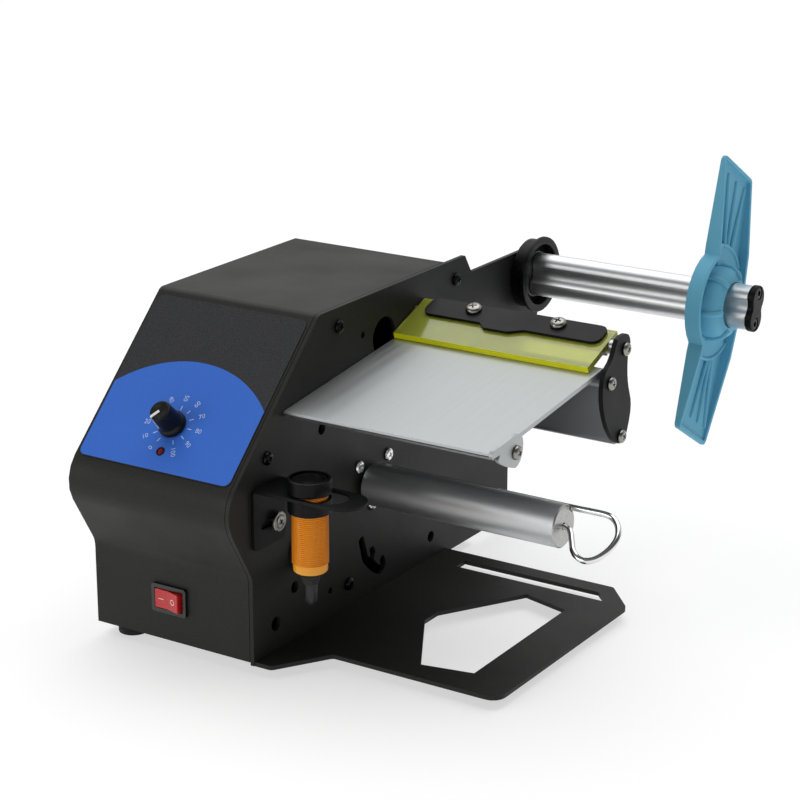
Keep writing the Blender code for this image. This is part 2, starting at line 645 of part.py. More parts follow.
def smooth_through(points, steps, closed=False):
    """Curve through hand-placed points, with steps points between each two of them."""
    count = len(points)
    spans = count if closed else count - 1
    vectors = [Vector(point) for point in points]
    result = []
    for index in range(spans):
        ahead = (index + 1) % count
        before = vectors[index - 1] if closed or index else vectors[index] * 2 - vectors[ahead]
        after = (index + 2) % count if closed or index + 2 < count else None
        beyond = vectors[after] if after is not None else vectors[ahead] * 2 - vectors[index]
        for step in range(steps):
            t = step / steps
            a, b, c = vectors[index], vectors[ahead] - before, beyond - vectors[index]
            span = vectors[ahead] - a
            point = a + b * (t / 2) + (span * 3 - b - c / 2) * t ** 2 + (b / 2 + c / 2 - span * 2) * t ** 3
            result.append(tuple(point))
    if not closed:
        result.append(tuple(points[-1]))
    return result


def by_shares(shares, start, size):
    """Outline points from shares of a width and a height."""
    return [(start[0] + size[0] * a, start[1] + size[1] * b) for a, b in shares]


# Makers of solids


def adopt(obj, material, parent, place, turn, collection=None):
    """Link, place, parent and dress an object."""
    (collection or PARTS).objects.link(obj)
    obj.parent = parent
    obj.location = place
    obj.rotation_euler = turn
    if obj.type == "MESH" and not obj.data.materials:
        obj.data.materials.append(material)
    return obj


def empty(name, parent, place, turn=FLAT):
    """Axis or datum that pieces are parented to."""
    holder = bpy.data.objects.new(name, None)
    holder.empty_display_size = GAP
    return adopt(holder, None, parent, place, turn)


def meshed(curve_object, lift=0.0):
    """Mesh of a curve object, its caps welded to its sides."""
    bpy.context.scene.collection.objects.link(curve_object)
    bpy.context.view_layer.update()
    graph = bpy.context.evaluated_depsgraph_get()
    mesh = bpy.data.meshes.new_from_object(curve_object.evaluated_get(graph))
    shape = bmesh.new()
    shape.from_mesh(mesh)
    bmesh.ops.remove_doubles(shape, verts=shape.verts, dist=WELD)
    bmesh.ops.translate(shape, verts=shape.verts, vec=(0.0, 0.0, lift))
    bmesh.ops.recalc_face_normals(shape, faces=shape.faces)
    shape.to_mesh(mesh)
    shape.free()
    curve = curve_object.data
    bpy.data.objects.remove(curve_object, do_unlink=True)
    bpy.data.curves.remove(curve)
    return mesh


def flat_piece(name, loops, depth, material, parent, place=FLAT, turn=FLAT):
    """Sheet with an outline and holes, filling 0 to depth of its own Z."""
    curve = bpy.data.curves.new(name, "CURVE")
    curve.dimensions = "2D"
    curve.fill_mode = "BOTH"
    curve.extrude = depth / 2
    for loop in loops:
        spline = curve.splines.new("POLY")
        spline.points.add(len(loop) - 1)
        for point, (x, y) in zip(spline.points, loop):
            point.co = (x, y, 0.0, 1.0)
        spline.use_cyclic_u = True
    mesh = meshed(bpy.data.objects.new(name, curve), depth / 2)
    return adopt(bpy.data.objects.new(name, mesh), material, parent, place, turn)


def turned(name, profile, steps, material, parent, place=FLAT, turn=FLAT, ring=False):
    """Body of revolution about its own Z from (radius, height) pairs."""
    mesh = bpy.data.meshes.new(name)
    verts = [(radius, 0.0, height) for radius, height in profile]
    edges = [(index, index + 1) for index in range(len(verts) - 1)]
    if ring:
        edges.append((len(verts) - 1, 0))
    mesh.from_pydata(verts, edges, [])
    obj = adopt(bpy.data.objects.new(name, mesh), material, parent, place, turn)
    screw = obj.modifiers.new("turn", "SCREW")
    screw.steps = steps
    screw.render_steps = steps
    screw.use_merge_vertices = True
    screw.merge_threshold = WELD
    screw.use_smooth_shade = True
    weld = obj.modifiers.new("weld", "WELD")
    weld.merge_threshold = WELD
    return obj


def rod(name, radius, length, steps, material, parent, place=FLAT, turn=FLAT):
    """Cylinder filling 0 to length of its own Z."""
    mesh = bpy.data.meshes.new(name)
    shape = bmesh.new()
    bmesh.ops.create_cone(
        shape, cap_ends=True, segments=steps, radius1=radius, radius2=radius, depth=length
    )
    bmesh.ops.translate(shape, verts=shape.verts, vec=(0.0, 0.0, length / 2))
    shape.to_mesh(mesh)
    shape.free()
    return adopt(bpy.data.objects.new(name, mesh), material, parent, place, turn)


def block(name, low, high, material, parent, place=FLAT, turn=FLAT):
    """Box between two corners."""
    size = [b - a for a, b in zip(low, high)]
    middle = [(a + b) / 2 for a, b in zip(low, high)]
    mesh = bpy.data.meshes.new(name)
    shape = bmesh.new()
    bmesh.ops.create_cube(shape, size=1.0)
    bmesh.ops.scale(shape, verts=shape.verts, vec=size)
    bmesh.ops.translate(shape, verts=shape.verts, vec=middle)
    shape.to_mesh(mesh)
    shape.free()
    return adopt(bpy.data.objects.new(name, mesh), material, parent, place, turn)


def wire(name, points, radius, material, parent, resolution=2):
    """Round wire along a list of points."""
    curve = bpy.data.curves.new(name, "CURVE")
    curve.dimensions = "3D"
    curve.bevel_depth = radius
    curve.bevel_resolution = resolution
    curve.use_fill_caps = True
    spline = curve.splines.new("POLY")
    spline.points.add(len(points) - 1)
    for point, place in zip(spline.points, points):
        point.co = (*place, 1.0)
    mesh = meshed(bpy.data.objects.new(name, curve))
    mesh.shade_smooth()
    return adopt(bpy.data.objects.new(name, mesh), material, parent, FLAT, FLAT)


def stow(tool):
    """Move a cutter or a joined shape out of the parts."""
    PARTS.objects.unlink(tool)
    CUTTERS.objects.link(tool)
    tool.hide_render = True
    tool.display_type = "WIRE"


def combine(target, tools, operation):
    """Boolean each tool into the target."""
    for tool in tools:
        modifier = target.modifiers.new(operation.lower(), "BOOLEAN")
        modifier.operation = operation
        modifier.solver = "EXACT"
        modifier.object = tool
        stow(tool)
    return target


def join(target, *tools):
    """Add shapes to a body."""
    return combine(target, tools, "UNION")


def cut(target, *tools):
    """Take shapes out of a body."""
    return combine(target, tools, "DIFFERENCE")


def pan_screw(name, parent, place, turn, material, head=SCREW_HEAD_RADIUS, rise=SCREW_HEAD_HEIGHT,
              length=SCREW_LENGTH, shank=SCREW_RADIUS):
    """Pan head screw: its head stands on its own Z = 0 and its shank hangs below."""
    profile = by_shares(SCREW_HEAD_SHARES, (0.0, 0.0), (head, rise))
    profile += [(shank, 0.0), (shank, -length), (0.0, -length)]
    return turned(name, profile, COARSE, material, parent, place, turn)


# Shared outlines of the housing


def cover_corners():
    """Corners of the housing's side view, from the lower front round to the lower back."""
    return [
        (FRONT_SETBACK, -COVER_DROP),
        (FRONT_SETBACK, FRONT_HEIGHT),
        (-NOSE_REACH, NOSE_HEIGHT),
        (ROOF_FRONT, ROOF_HEIGHT),
        (ROOF_BACK, ROOF_HEIGHT),
        (HOUSING_DEPTH, SHOULDER_HEIGHT),
        (HOUSING_DEPTH, -COVER_DROP),
    ]


COVER_RADII = (0.0, WAIST_BEND, NOSE_BEND, ROOF_BEND, ROOF_BEND, ROOF_BEND, 0.0)


def slope_point(place, depth):
    """Point of the side view at a place up the slope and a depth below it."""
    y = -NOSE_REACH + place * math.cos(SLOPE_ANGLE) + depth * math.sin(SLOPE_ANGLE)
    z = NOSE_HEIGHT + place * math.sin(SLOPE_ANGLE) - depth * math.cos(SLOPE_ANGLE)
    return (y, z)


def cover_screw_places():
    """Side-view places of the four screws on each side of the housing."""
    return [
        slope_point(SLOPE_SCREW_PLACE, SLOPE_SCREW_DEPTH),
        (ROOF_FRONT + ROOF_SCREW_SETBACK, ROOF_HEIGHT - ROOF_SCREW_DEPTH),
        (ROOF_BACK + SHOULDER_SCREW_SETBACK, ROOF_HEIGHT - SHOULDER_SCREW_DEPTH),
        (SILL_SCREW_Y, SILL_SCREW_Z),
    ]


def shoulder_height(y):
    """Height of the sloping rear roof at a depth y."""
    share = (y - ROOF_BACK) / (HOUSING_DEPTH - ROOF_BACK)
    return ROOF_HEIGHT + (SHOULDER_HEIGHT - ROOF_HEIGHT) * share


def tab_loops():
    """Outlines of the cover's three screw tabs, each with its screw hole, in the side view."""
    half = TAB_WIDTH / 2
    root = COVER_SHEET / 2
    places = cover_screw_places()
    hole = SCREW_RADIUS + GAP
    loops = []
    slope_low = SLOPE_SCREW_DEPTH + TAB_REACH
    loops.append([
        slope_point(SLOPE_SCREW_PLACE - half, slope_low),
        slope_point(SLOPE_SCREW_PLACE + half, slope_low),
        slope_point(SLOPE_SCREW_PLACE + half, root),
        slope_point(SLOPE_SCREW_PLACE - half, root),
    ])
    y, z = places[1]
    loops.append(rectangle(y - half, z - TAB_REACH, TAB_WIDTH, ROOF_HEIGHT - root - z + TAB_REACH))
    y, z = places[2]
    loops.append([
        (y - half, z - TAB_REACH),
        (y + half, z - TAB_REACH),
        (y + half, shoulder_height(y + half) - root),
        (y - half, shoulder_height(y - half) - root),
    ])
    return [(loop, circle(place, hole, COARSE)) for loop, place in zip(loops, places)]


# Sheet metal


def make_front_cover(datum, slope):
    """Wrap-round sheet with its screw tabs, control holes, switch window and inlet hole."""
    outline = bend(cover_corners(), COVER_RADII, closed=False)
    width = FRAME_INNER - GAP
    mesh = bpy.data.meshes.new("front_cover")
    verts = [(0.0, y, z) for y, z in outline] + [(width, y, z) for y, z in outline]
    count = len(outline)
    faces = [(i, count + i, count + i + 1, i + 1) for i in range(count - 1)]
    mesh.from_pydata(verts, [], faces)
    cover = adopt(bpy.data.objects.new("front_cover", mesh), POWDER_COAT, datum, FLAT, FLAT)
    shell = cover.modifiers.new("sheet", "SOLIDIFY")
    shell.thickness = COVER_SHEET
    shell.offset = -1.0
    shell.use_even_offset = True
    right = width - COVER_SHEET
    left = LEFT_PANEL_INSET + COVER_SHEET + GAP
    for side, x in (("right", right), ("left", left)):
        for index, loops in enumerate(tab_loops()):
            tab = flat_piece(
                f"cover_tab_{side}_{index}", loops, COVER_SHEET, POWDER_COAT, datum,
                (x, 0.0, 0.0), SIDEWAYS,
            )
            join(cover, tab)
    depth = COVER_SHEET + 2 * CUT_OVER
    low = -COVER_SHEET - CUT_OVER
    bushing = rod("bushing_hole", POT_BUSHING_RADIUS + GAP, depth, MEDIUM, POWDER_COAT, slope,
                  (KNOB_X, KNOB_PLACE, low))
    lamp = rod("lamp_hole", LAMP_RADIUS + GAP, depth, MEDIUM, POWDER_COAT, slope,
               (KNOB_X, LAMP_PLACE, low))
    half_width = switch_body_half_width() + GAP
    half_height = switch_body_half_height() + GAP
    window = block(
        "switch_window",
        (SWITCH_X - half_width, FRONT_SETBACK - CUT_OVER, SWITCH_Z - half_height),
        (SWITCH_X + half_width, FRONT_SETBACK + COVER_SHEET + CUT_OVER, SWITCH_Z + half_height),
        POWDER_COAT, datum,
    )
    inlet = rod("inlet_hole", INLET_RADIUS + GAP, depth, MEDIUM, POWDER_COAT, datum,
                (INLET_X, HOUSING_DEPTH - COVER_SHEET - CUT_OVER, INLET_Z), FACING_BACK)
    cut(cover, bushing, lamp, window, inlet)


def frame_outline():
    """Side view of the upright plate: the housing's front, then the arm and the tail."""
    corners = cover_corners()[:4]
    corners[0] = (FRONT_SETBACK, -FRAME_SHEET)
    corners += [
        (PEAK_BACK, ROOF_HEIGHT),
        (NOTCH_BACK, ARM_HEIGHT),
        (ARM_END, ARM_HEIGHT),
        (ARM_END, ARM_UNDERSIDE),
        (TAIL_BACK, TAIL_HEIGHT),
        (TAIL_BACK, -FRAME_SHEET),
    ]
    radii = [0.0, WAIST_BEND, NOSE_BEND, ROOF_BEND, PEAK_BEND, PEAK_BEND, ARM_BEND, ARM_BEND,
             ARM_BEND, 0.0]
    return bend(corners, radii)[::-1]


def motor_bolt_places():
    """Side-view places of the three gear motor screws."""
    centre = (TAKEUP_Y + GEARBOX_OFFSET_Y, TAKEUP_Z + GEARBOX_OFFSET_Z)
    angles = [math.radians(angle) for angle in MOTOR_BOLT_ANGLES]
    return [
        (centre[0] + MOTOR_BOLT_RADIUS * math.cos(a), centre[1] + MOTOR_BOLT_RADIUS * math.sin(a))
        for a in angles
    ]


def guide_places():
    """Side-view centres of the guide profile's upper and lower lobes."""
    low = (
        GUIDE_TOP_Y + GUIDE_SPACING * math.sin(GUIDE_LEAN),
        GUIDE_TOP_Z - GUIDE_SPACING * math.cos(GUIDE_LEAN),
    )
    return [(GUIDE_TOP_Y, GUIDE_TOP_Z), low]


def frame_holes():
    """Every hole loop of the upright plate."""
    screw = SCREW_RADIUS + GAP
    spigot = SPIGOT_RADIUS + GAP
    loops = [circle(place, screw, COARSE) for place in cover_screw_places() + motor_bolt_places()]
    loops += [circle(place, spigot, COARSE) for place in guide_places()]
    loops.append(circle((TIE_ROD_Y, TIE_ROD_Z), spigot, COARSE))
    loops.append(circle((PRESS_Y, PRESS_Z), PRESS_ROD_RADIUS + GAP, MEDIUM))
    loops.append(circle((TAKEUP_Y, TAKEUP_Z), GEARBOX_BOSS_RADIUS + GAP, MEDIUM))
    loops.append(circle((SUPPLY_Y, SUPPLY_Z), COLLAR_BOSS_RADIUS + GAP, MEDIUM))
    loops.append(circle((GROMMET_Y, GROMMET_Z), GROMMET_NECK_RADIUS + GAP, MEDIUM))
    loops.append(circle((SENSOR_SCREW_Y, SENSOR_SLOT_Z), screw, COARSE))
    loops.append(circle((PASS_HOLE_Y, PASS_HOLE_Z), PASS_HOLE_RADIUS, MEDIUM))
    upper = (PASS_HOLE_Y - UPPER_HOLE_AHEAD, PASS_HOLE_Z + UPPER_HOLE_ABOVE)
    loops.append(circle(upper, SMALL_HOLE_RADIUS, COARSE))
    size = (HOUSING_DEPTH, ROOF_HEIGHT)
    for place in by_shares(SMALL_HOLE_SHARES, (0.0, 0.0), size):
        loops.append(circle(place, SMALL_HOLE_RADIUS, COARSE))
    for place in by_shares(MEDIUM_HOLE_SHARES, (0.0, 0.0), size):
        loops.append(circle(place, MEDIUM_HOLE_RADIUS, COARSE))
    for place in by_shares((CORNER_HOLE_SHARES,), (0.0, 0.0), size):
        loops.append(circle(place, CORNER_HOLE_RADIUS, COARSE))
    fork = by_shares(FORK_SHARES, (FORK_Y, FORK_Z), (FORK_WIDTH, FORK_HEIGHT))
    loops.append(smooth_through(fork, 2, closed=True))
    return loops


def flange_outline():
    """Plan of the base flange, from inside the upright plate outwards."""
    root = HOUSING_WIDTH - FRAME_SHEET / 2
    corners = [
        (root, FRONT_SETBACK + FLANGE_HEEL_FRONT),
        (HOUSING_WIDTH + FLANGE_HEEL, FRONT_SETBACK + FLANGE_HEEL_FRONT),
        (FLANGE_STEP, FLANGE_FRONT),
        (FLANGE_REACH, FLANGE_FRONT),
        (FLANGE_REACH, FLANGE_SIDE_BACK),
        (FLANGE_REACH - FLANGE_CHAMFER, FLANGE_BACK),
        (root, FLANGE_BACK),
    ]
    radii = [0.0, FLANGE_BEND, FLANGE_BEND, FLANGE_CORNER, FLANGE_CORNER, FLANGE_BEND, 0.0]
    return bend(corners, radii)


def make_side_frame(datum):
    """Upright plate and base flange folded from one sheet."""
    upright = flat_piece(
        "side_frame", [frame_outline()] + frame_holes(), FRAME_SHEET, POWDER_COAT, datum,
        (FRAME_INNER, 0.0, 0.0), SIDEWAYS,
    )
    window = by_shares(WINDOW_SHARES, (WINDOW_LEFT, WINDOW_FRONT), (WINDOW_WIDTH, WINDOW_LENGTH))
    slot = [
        (SLOT_LEFT, SLOT_FRONT),
        (SLOT_LEFT + SLOT_LENGTH, SLOT_FRONT),
        (SLOT_LEFT + SLOT_LENGTH - SLOT_WIDTH, SLOT_FRONT + SLOT_WIDTH),
        (SLOT_LEFT, SLOT_FRONT + SLOT_WIDTH),
    ]
    flange = flat_piece(
        "base_flange", [flange_outline(), window[::-1], slot[::-1]], FRAME_SHEET, POWDER_COAT, datum,
        (0.0, 0.0, -FRAME_SHEET), FLAT,
    )
    join(upright, flange)


def make_left_panel(datum):
    """Flat panel that closes the left side, set inside the cover."""
    corners = cover_corners()
    corners[0] = (FRONT_SETBACK, -COVER_DROP - COVER_SHEET)
    corners[-1] = (HOUSING_DEPTH, -COVER_DROP - COVER_SHEET)
    radii = [0.0, WAIST_BEND, NOSE_BEND, ROOF_BEND, ROOF_BEND, ROOF_BEND, 0.0]
    loop = inset(bend(corners, radii)[::-1], COVER_SHEET + GAP)
    hole = SCREW_RADIUS + GAP
    holes = [circle(place, hole, COARSE) for place in left_screw_places()]
    flat_piece("left_panel", [loop] + holes, COVER_SHEET, POWDER_COAT, datum,
               (LEFT_PANEL_INSET, 0.0, 0.0), SIDEWAYS)


def left_screw_places():
    """The two side-view places that hold the left panel."""
    places = cover_screw_places()
    return [places[0], places[2]]


def make_bottom_plate(datum):
    """Bottom sheet with its screw tab and the four board posts."""
    top = -COVER_DROP - GAP
    low = top - BOTTOM_SHEET
    right = FRAME_INNER - GAP
    front = FRONT_SETBACK + FOOT_INSET - FOOT_RADIUS
    outline = rectangle(GAP, front, right - GAP, HOUSING_DEPTH - front)
    plate = flat_piece("bottom_plate", [outline], BOTTOM_SHEET, POWDER_COAT, datum,
                       (0.0, 0.0, low), FLAT)
    half = TAB_WIDTH / 2
    root = top - BOTTOM_SHEET / 2
    loop = rectangle(SILL_SCREW_Y - half, root, TAB_WIDTH, SILL_SCREW_Z + TAB_REACH - root)
    hole = circle((SILL_SCREW_Y, SILL_SCREW_Z), SCREW_RADIUS + GAP, COARSE)
    tab = flat_piece("sill_tab", [loop, hole], BOTTOM_SHEET, POWDER_COAT, datum,
                     (right - BOTTOM_SHEET, 0.0, 0.0), SIDEWAYS)
    join(plate, tab)
    for index, (x, y) in enumerate(post_places()):
        pin_top = top + POST_HEIGHT + GAP + BOARD_SHEET + GAP
        profile = [
            (0.0, pin_top),
            (POST_PIN_RADIUS, pin_top),
            (POST_PIN_RADIUS, top + POST_HEIGHT),
            (POST_RADIUS, top + POST_HEIGHT),
            (POST_RADIUS, root),
            (0.0, root),
        ]
        join(plate, turned(f"board_post_{index}", profile, COARSE, STEEL, datum, (x, y, 0.0)))


def post_places():
    """Plan places of the four board posts."""
    xs = (BOARD_LEFT + BOARD_MARGIN, BOARD_LEFT + BOARD_WIDTH - BOARD_MARGIN)
    ys = (BOARD_FRONT + BOARD_MARGIN, BOARD_FRONT + BOARD_LENGTH - BOARD_MARGIN)
    return [(x, y) for x in xs for y in ys]


def make_control_board(datum):
    """Speed control board on the posts."""
    low = -COVER_DROP - GAP + POST_HEIGHT + GAP
    outline = rectangle(BOARD_LEFT, BOARD_FRONT, BOARD_WIDTH, BOARD_LENGTH)
    holes = [circle(place, POST_PIN_RADIUS + GAP, 12) for place in post_places()]
    flat_piece("control_board", [outline] + holes, BOARD_SHEET, BOARD_GREEN, datum,
               (0.0, 0.0, low), FLAT)


def make_feet(datum):
    """Four rubber feet: two under the housing's left edge and two under the base flange."""
    profile = [
        (0.0, 0.0),
        (FOOT_RADIUS, 0.0),
        (FOOT_RADIUS, FOOT_TAPER_HEIGHT - FOOT_HEIGHT),
        (FOOT_RADIUS - FOOT_TAPER, -FOOT_HEIGHT),
        (0.0, -FOOT_HEIGHT),
    ]
    top = -FRAME_SHEET - GAP
    places = (
        (FOOT_INSET, FRONT_SETBACK + FOOT_INSET),
        (FLANGE_FOOT_X, FLANGE_FRONT + FLANGE_FOOT_INSET),
        (FOOT_INSET, HOUSING_DEPTH - FOOT_INSET),
        (FLANGE_FOOT_X, FLANGE_BACK - FLANGE_FOOT_INSET - SLOT_WIDTH),
    )
    for index, (x, y) in enumerate(places):
        turned(f"foot_{index + 1}", profile, MEDIUM, RUBBER, datum, (x, y, top))


def make_cover_screws(datum):
    """Four black screws on the right side and two on the left."""
    for index, (y, z) in enumerate(cover_screw_places()):
        pan_screw(f"cover_screw_{index + 1}", datum, (HOUSING_WIDTH + GAP, y, z), ALONG_X, BLACK_SCREW)
    for index, (y, z) in enumerate(left_screw_places()):
        pan_screw(f"left_screw_{index + 1}", datum, (LEFT_PANEL_INSET - GAP, y, z),
                  (0.0, -math.pi / 2, 0.0), BLACK_SCREW)


# Control panel and switch


def make_overlay(slope):
    """Printed film on the slope, with holes for the knob and the lamp."""
    right = FRAME_INNER - GAP
    corners = rectangle(OVERLAY_MARGIN, OVERLAY_START, right - 2 * OVERLAY_MARGIN, OVERLAY_LENGTH)
    loop = bend(corners, [OVERLAY_CORNER] * 4)
    holes = [
        circle((KNOB_X, KNOB_PLACE), POT_BUSHING_RADIUS + GAP, MEDIUM),
        circle((KNOB_X, LAMP_PLACE), LAMP_RADIUS + GAP, MEDIUM),
    ]
    flat_piece("panel_overlay", [loop] + holes, OVERLAY_FILM, OVERLAY_BLUE, slope,
               (0.0, 0.0, SKIN_GAP), FLAT)


def make_speed_control(slope):
    """Potentiometer, its shaft and the knob on one axis square to the slope."""
    axis = empty("knob_axis", slope, (KNOB_X, KNOB_PLACE, 0.0))
    bore = POT_SHAFT_RADIUS + GAP
    body_top = -COVER_SHEET - GAP
    body_low = body_top - POT_BODY_DEPTH
    shaft_low = body_low + POT_BODY_DEPTH / 2
    pot = [
        (0.0, shaft_low - GAP),
        (bore, shaft_low - GAP),
        (bore, POT_BUSHING_TOP),
        (POT_BUSHING_RADIUS, POT_BUSHING_TOP),
        (POT_BUSHING_RADIUS, POT_NUT_TOP),
        (POT_NUT_RADIUS, POT_NUT_TOP),
        (POT_NUT_RADIUS, POT_NUT_LOW),
        (POT_BUSHING_RADIUS, POT_NUT_LOW),
        (POT_BUSHING_RADIUS, body_top),
        (POT_BODY_RADIUS, body_top),
        (POT_BODY_RADIUS, body_low),
        (0.0, body_low),
    ]
    turned("potentiometer", pot, MEDIUM, STEEL, axis)
    rod("potentiometer_shaft", POT_SHAFT_RADIUS, POT_SHAFT_TOP - shaft_low, COARSE, STEEL, axis,
        (0.0, 0.0, shaft_low))
    low = POT_NUT_LOW
    inner = KNOB_FLANGE_RADIUS - KNOB_WALL
    ceiling = POT_BUSHING_TOP + GAP
    flange = low + KNOB_FLANGE_HEIGHT
    top = KNOB_TOP
    knob = [
        (0.0, top),
        (KNOB_CAP_RADIUS - KNOB_CHAMFER, top),
        (KNOB_CAP_RADIUS, top - KNOB_CHAMFER),
        (KNOB_CAP_RADIUS, flange + KNOB_CHAMFER),
        (KNOB_FLANGE_RADIUS, flange),
        (KNOB_FLANGE_RADIUS, low),
        (inner, low),
        (inner, ceiling),
        (bore, ceiling),
        (bore, POT_SHAFT_TOP + GAP),
        (0.0, POT_SHAFT_TOP + GAP),
    ]
    turn = (0.0, 0.0, KNOB_REST_ANGLE)
    body = turned("speed_knob", knob, MEDIUM, KNOB_BLACK, axis, FLAT, turn)
    half = KNOB_POINTER / 2
    pointer = block(
        "knob_pointer",
        (0.0, -half, POT_SHAFT_TOP + 3 * GAP),
        (KNOB_CAP_RADIUS + KNOB_POINTER_RISE, half, top + KNOB_POINTER_RISE),
        KNOB_BLACK, axis, FLAT, turn,
    )
    join(body, pointer)


def make_lamp(slope):
    """Indicator lamp below the knob."""
    shoulder = -COVER_SHEET - GAP
    profile = by_shares(LAMP_DOME_SHARES, (0.0, 0.0), (LAMP_RADIUS, LAMP_RADIUS))
    profile += [
        (LAMP_RADIUS, shoulder),
        (LAMP_RADIUS + LAMP_COLLAR, shoulder),
        (LAMP_RADIUS + LAMP_COLLAR, -LAMP_LENGTH),
        (0.0, -LAMP_LENGTH),
    ]
    turned("indicator_lamp", profile, COARSE, LAMP_RED, slope, (KNOB_X, LAMP_PLACE, SKIN_GAP))


def switch_body_half_width():
    """Half the width of the switch housing behind its bezel."""
    return ROCKER_HALF_WIDTH + ROCKER_SWING + SWITCH_WALL


def switch_body_half_height():
    """Half the height of the switch housing behind its bezel."""
    return ROCKER_HALF_HEIGHT + GAP + SWITCH_WALL


def make_switch(datum):
    """Rocker switch: bezel and housing in one body, and the rocker on its upright pivot."""
    front = empty("switch_axis", datum, (SWITCH_X, FRONT_SETBACK, SWITCH_Z), FACING_FRONT)
    bezel_width = 2 * (switch_body_half_width() + SWITCH_RIM)
    bezel_height = 2 * (switch_body_half_height() + SWITCH_SILL)
    corners = rectangle(-bezel_width / 2, -bezel_height / 2, bezel_width, bezel_height)
    body = flat_piece("switch_body", [bend(corners, [SWITCH_CORNER] * 4)],
                      SWITCH_BEZEL_PROUD - SKIN_GAP, BLACK_PLASTIC, front, (0.0, 0.0, SKIN_GAP))
    half_width = switch_body_half_width()
    half_height = switch_body_half_height()
    housing = block(
        "switch_housing",
        (-half_width, -half_height, -SWITCH_BODY_DEPTH),
        (half_width, half_height, SWITCH_BEZEL_PROUD / 2),
        BLACK_PLASTIC, front,
    )
    well = block(
        "switch_well",
        (-half_width + SWITCH_WALL, -half_height + SWITCH_WALL, -ROCKER_ROOT - ROCKER_CREST / 2),
        (half_width - SWITCH_WALL, half_height - SWITCH_WALL, SWITCH_BEZEL_PROUD + CUT_OVER),
        BLACK_PLASTIC, front,
    )
    join(body, housing)
    cut(body, well)
    valley = ROCKER_CREST - ROCKER_HALF_WIDTH * math.tan(ROCKER_TILT)
    loop = [
        (-ROCKER_HALF_WIDTH, -ROCKER_ROOT),
        (ROCKER_HALF_WIDTH, -ROCKER_ROOT),
        (ROCKER_HALF_WIDTH, ROCKER_CREST),
        (0.0, valley),
        (-ROCKER_HALF_WIDTH, ROCKER_CREST),
    ]
    pivot = empty("rocker_axis", datum, (SWITCH_X, FRONT_SETBACK + ROCKER_PIVOT_DEPTH, SWITCH_Z),
                  (0.0, 0.0, -ROCKER_TILT))
    flat_piece("switch_rocker", [loop], 2 * ROCKER_HALF_HEIGHT, SWITCH_RED, pivot,
               (0.0, 0.0, ROCKER_HALF_HEIGHT), (math.pi, 0.0, 0.0))


def make_inlet(datum):
    """Barrel socket for the power lead on the back wall."""
    back = -COVER_SHEET - INLET_DEPTH
    floor = back + INLET_FLANGE
    profile = [
        (0.0, INLET_FLANGE - GAP),
        (INLET_PIN_RADIUS, INLET_FLANGE - GAP),
        (INLET_PIN_RADIUS, floor),
        (INLET_SOCKET_RADIUS, floor),
        (INLET_SOCKET_RADIUS, INLET_FLANGE + GAP),
        (INLET_FLANGE_RADIUS, INLET_FLANGE + GAP),
        (INLET_FLANGE_RADIUS, GAP),
        (INLET_RADIUS, GAP),
        (INLET_RADIUS, back),
        (0.0, back),
    ]
    turned("power_inlet", profile, COARSE, BLACK_PLASTIC, datum,
           (INLET_X, HOUSING_DEPTH, INLET_Z), FACING_BACK)


# Drive and take-up roller


def make_gear_motor(datum):
    """Round gearbox with its output boss, the motor behind it and the three screws."""
    centre_y = TAKEUP_Y + GEARBOX_OFFSET_Y
    centre_z = TAKEUP_Z + GEARBOX_OFFSET_Z
    front = FRAME_INNER - GAP
    back = front - GEARBOX_LENGTH
    box = rod("gearbox", GEARBOX_RADIUS, GEARBOX_LENGTH, FINE, STEEL, datum,
              (back, centre_y, centre_z), ALONG_X)
    boss = rod("gearbox_boss", GEARBOX_BOSS_RADIUS, GEARBOX_BOSS_REACH + 2 * CUT_OVER, MEDIUM, STEEL,
               datum, (front - 2 * CUT_OVER, TAKEUP_Y, TAKEUP_Z), ALONG_X)
    join(box, boss)
    bore = rod("gearbox_bore", OUTPUT_RADIUS + GAP, OUTPUT_DEPTH + GEARBOX_BOSS_REACH + CUT_OVER,
               MEDIUM, STEEL, datum, (front - OUTPUT_DEPTH, TAKEUP_Y, TAKEUP_Z), ALONG_X)
    cut(box, bore)
    for index, (y, z) in enumerate(motor_bolt_places()):
        tap = rod(f"gearbox_tap_{index}", SCREW_RADIUS + GAP, SCREW_LENGTH + CUT_OVER, 12, STEEL,
                  datum, (front - SCREW_LENGTH, y, z), ALONG_X)
        cut(box, tap)
        pan_screw(f"motor_screw_{index + 1}", datum, (HOUSING_WIDTH + GAP, y, z), ALONG_X, CHROME,
                  rise=MOTOR_SCREW_HEAD_HEIGHT)
    rod("drive_motor", MOTOR_RADIUS, MOTOR_LENGTH, FINE, STEEL, datum,
        (back - GAP - MOTOR_LENGTH, centre_y, centre_z), ALONG_X)


